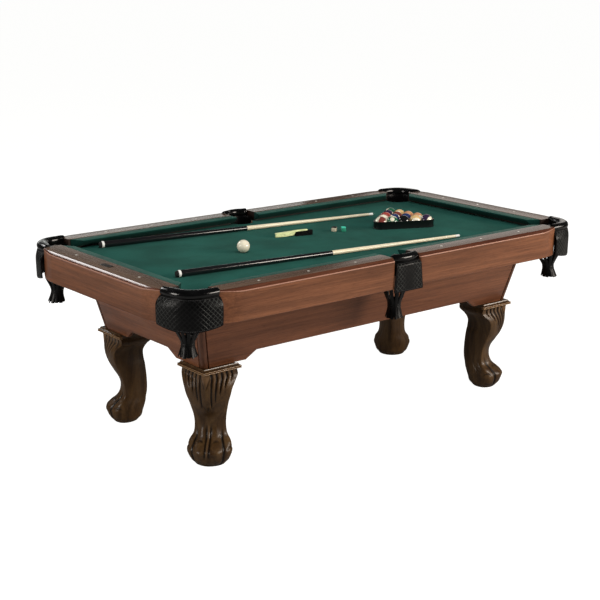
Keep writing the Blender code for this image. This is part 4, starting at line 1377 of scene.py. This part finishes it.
# The bead's light pinkish colour is a painted highlight line along the rails
bead = plain("rail bead painted highlight", (0.40, 0.20, 0.135), 0.25, speckle=260.0, contrast=0.25, coat=0.4)
# Its lighter colour is the painted highlight on the legs' raised carving
carved = carved_wood("carved walnut", 0.10, 0.30, 0.42, (0.19, 0.105, 0.048))
# Its lighter colour is the painted highlight on the crowns of the cap's beads
moulding = carved_wood("bead moulding", 0.6, 0.24, 0.34, (0.42, 0.24, 0.11))
board = plain("bed fibreboard", (0.36, 0.27, 0.17), 0.8, speckle=220.0, contrast=0.3, depth=0.0002)
bed_green = cloth("bed cloth green", (0.0112, 0.072, 0.057))
cushion_green = cloth("cushion cloth green", (0.0112, 0.068, 0.053), 0.55, 0.4)
# A darker copy of the cushion cloth: painted shade on the cushions' faces
cushion_face_painted_shade = cloth("cushion face green painted shade", (0.0040, 0.027, 0.022))
rolled = leather("rolled rim leather", 0.14, 900.0, 0.25)
quilted = quilted_leather("quilted shield leather")
strap = leather("strap leather", 0.36, 700.0, 0.0)
thread = plain("grey thread", (0.10, 0.10, 0.10), 0.7)
pearl = plain("pearl inlay", (0.72, 0.69, 0.62), 0.25, speckle=700.0, contrast=0.15, coat=0.4)
plate = plain("blank plate", (0.010, 0.008, 0.006), 0.5, speckle=900.0)
bumper = plain("bumper rubber", (0.012, 0.012, 0.012), 0.7)
lacquer = plain("black lacquer", (0.006, 0.006, 0.007), 0.12, coat=0.8, depth=0.00001)
collar = plain("white collar", (0.80, 0.80, 0.77), 0.3)
chalked = plain("chalked leather tip", (0.55, 0.60, 0.58), 0.85, speckle=900.0, contrast=0.3)
rack_black = plain("rack plastic", (0.003, 0.005, 0.005), 0.34, speckle=900.0, shine=0.25)
bristle = plain("black bristle", (0.002, 0.002, 0.002), 0.6, speckle=1500.0, contrast=0.4, shine=0.15)
spent_looks = [plain("worn paper", (0.62, 0.56, 0.42), 0.8, speckle=500.0, contrast=0.2),
               plain("worn hollow", (0.020, 0.022, 0.020), 0.9)]  # fmt: skip
green_looks = [plain("green sleeve", (0.02, 0.24, 0.15), 0.6),
               plain("green chalk", (0.06, 0.50, 0.36), 0.95, 700.0, 0.25, depth=0.0001)]  # fmt: skip

make_bed_cloth()
make_rails()
make_sights()
make_plate()
make_pockets()
# The CAD nodes that stay as they are, under a material of their own
for node, look in (("bed_board", board), ("cross_beam_left", pine), ("cross_beam_right", pine)):
    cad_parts[node].data.materials.clear()
    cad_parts[node].data.materials.append(look.material)
for side in SIDES:
    softened(f"panel_{side}", panel["x"], 0.0012)
for end in ENDS:
    softened(f"panel_{end}", panel["y"], 0.0012)
    for side in SIDES:
        softened(f"corner_post_{side}_{end}", post, 0.0010)
make_legs()
make_cue("cue_near", (-0.880, -0.203), (0.596, -0.361), CUE_JOINT + 0.020)
make_cue("cue_far", (-0.843, 0.467), (0.597, 0.280), CUE_JOINT + 0.008)
make_rack()
make_balls()
make_brush()
make_chalk("chalk_cube_spent", (0.214, 0.100), 35, spent_looks, "chalk_spent")
make_chalk("chalk_cube_green", (0.247, 0.072), 60, green_looks, "chalk_green")
make_stage()
make_lights()
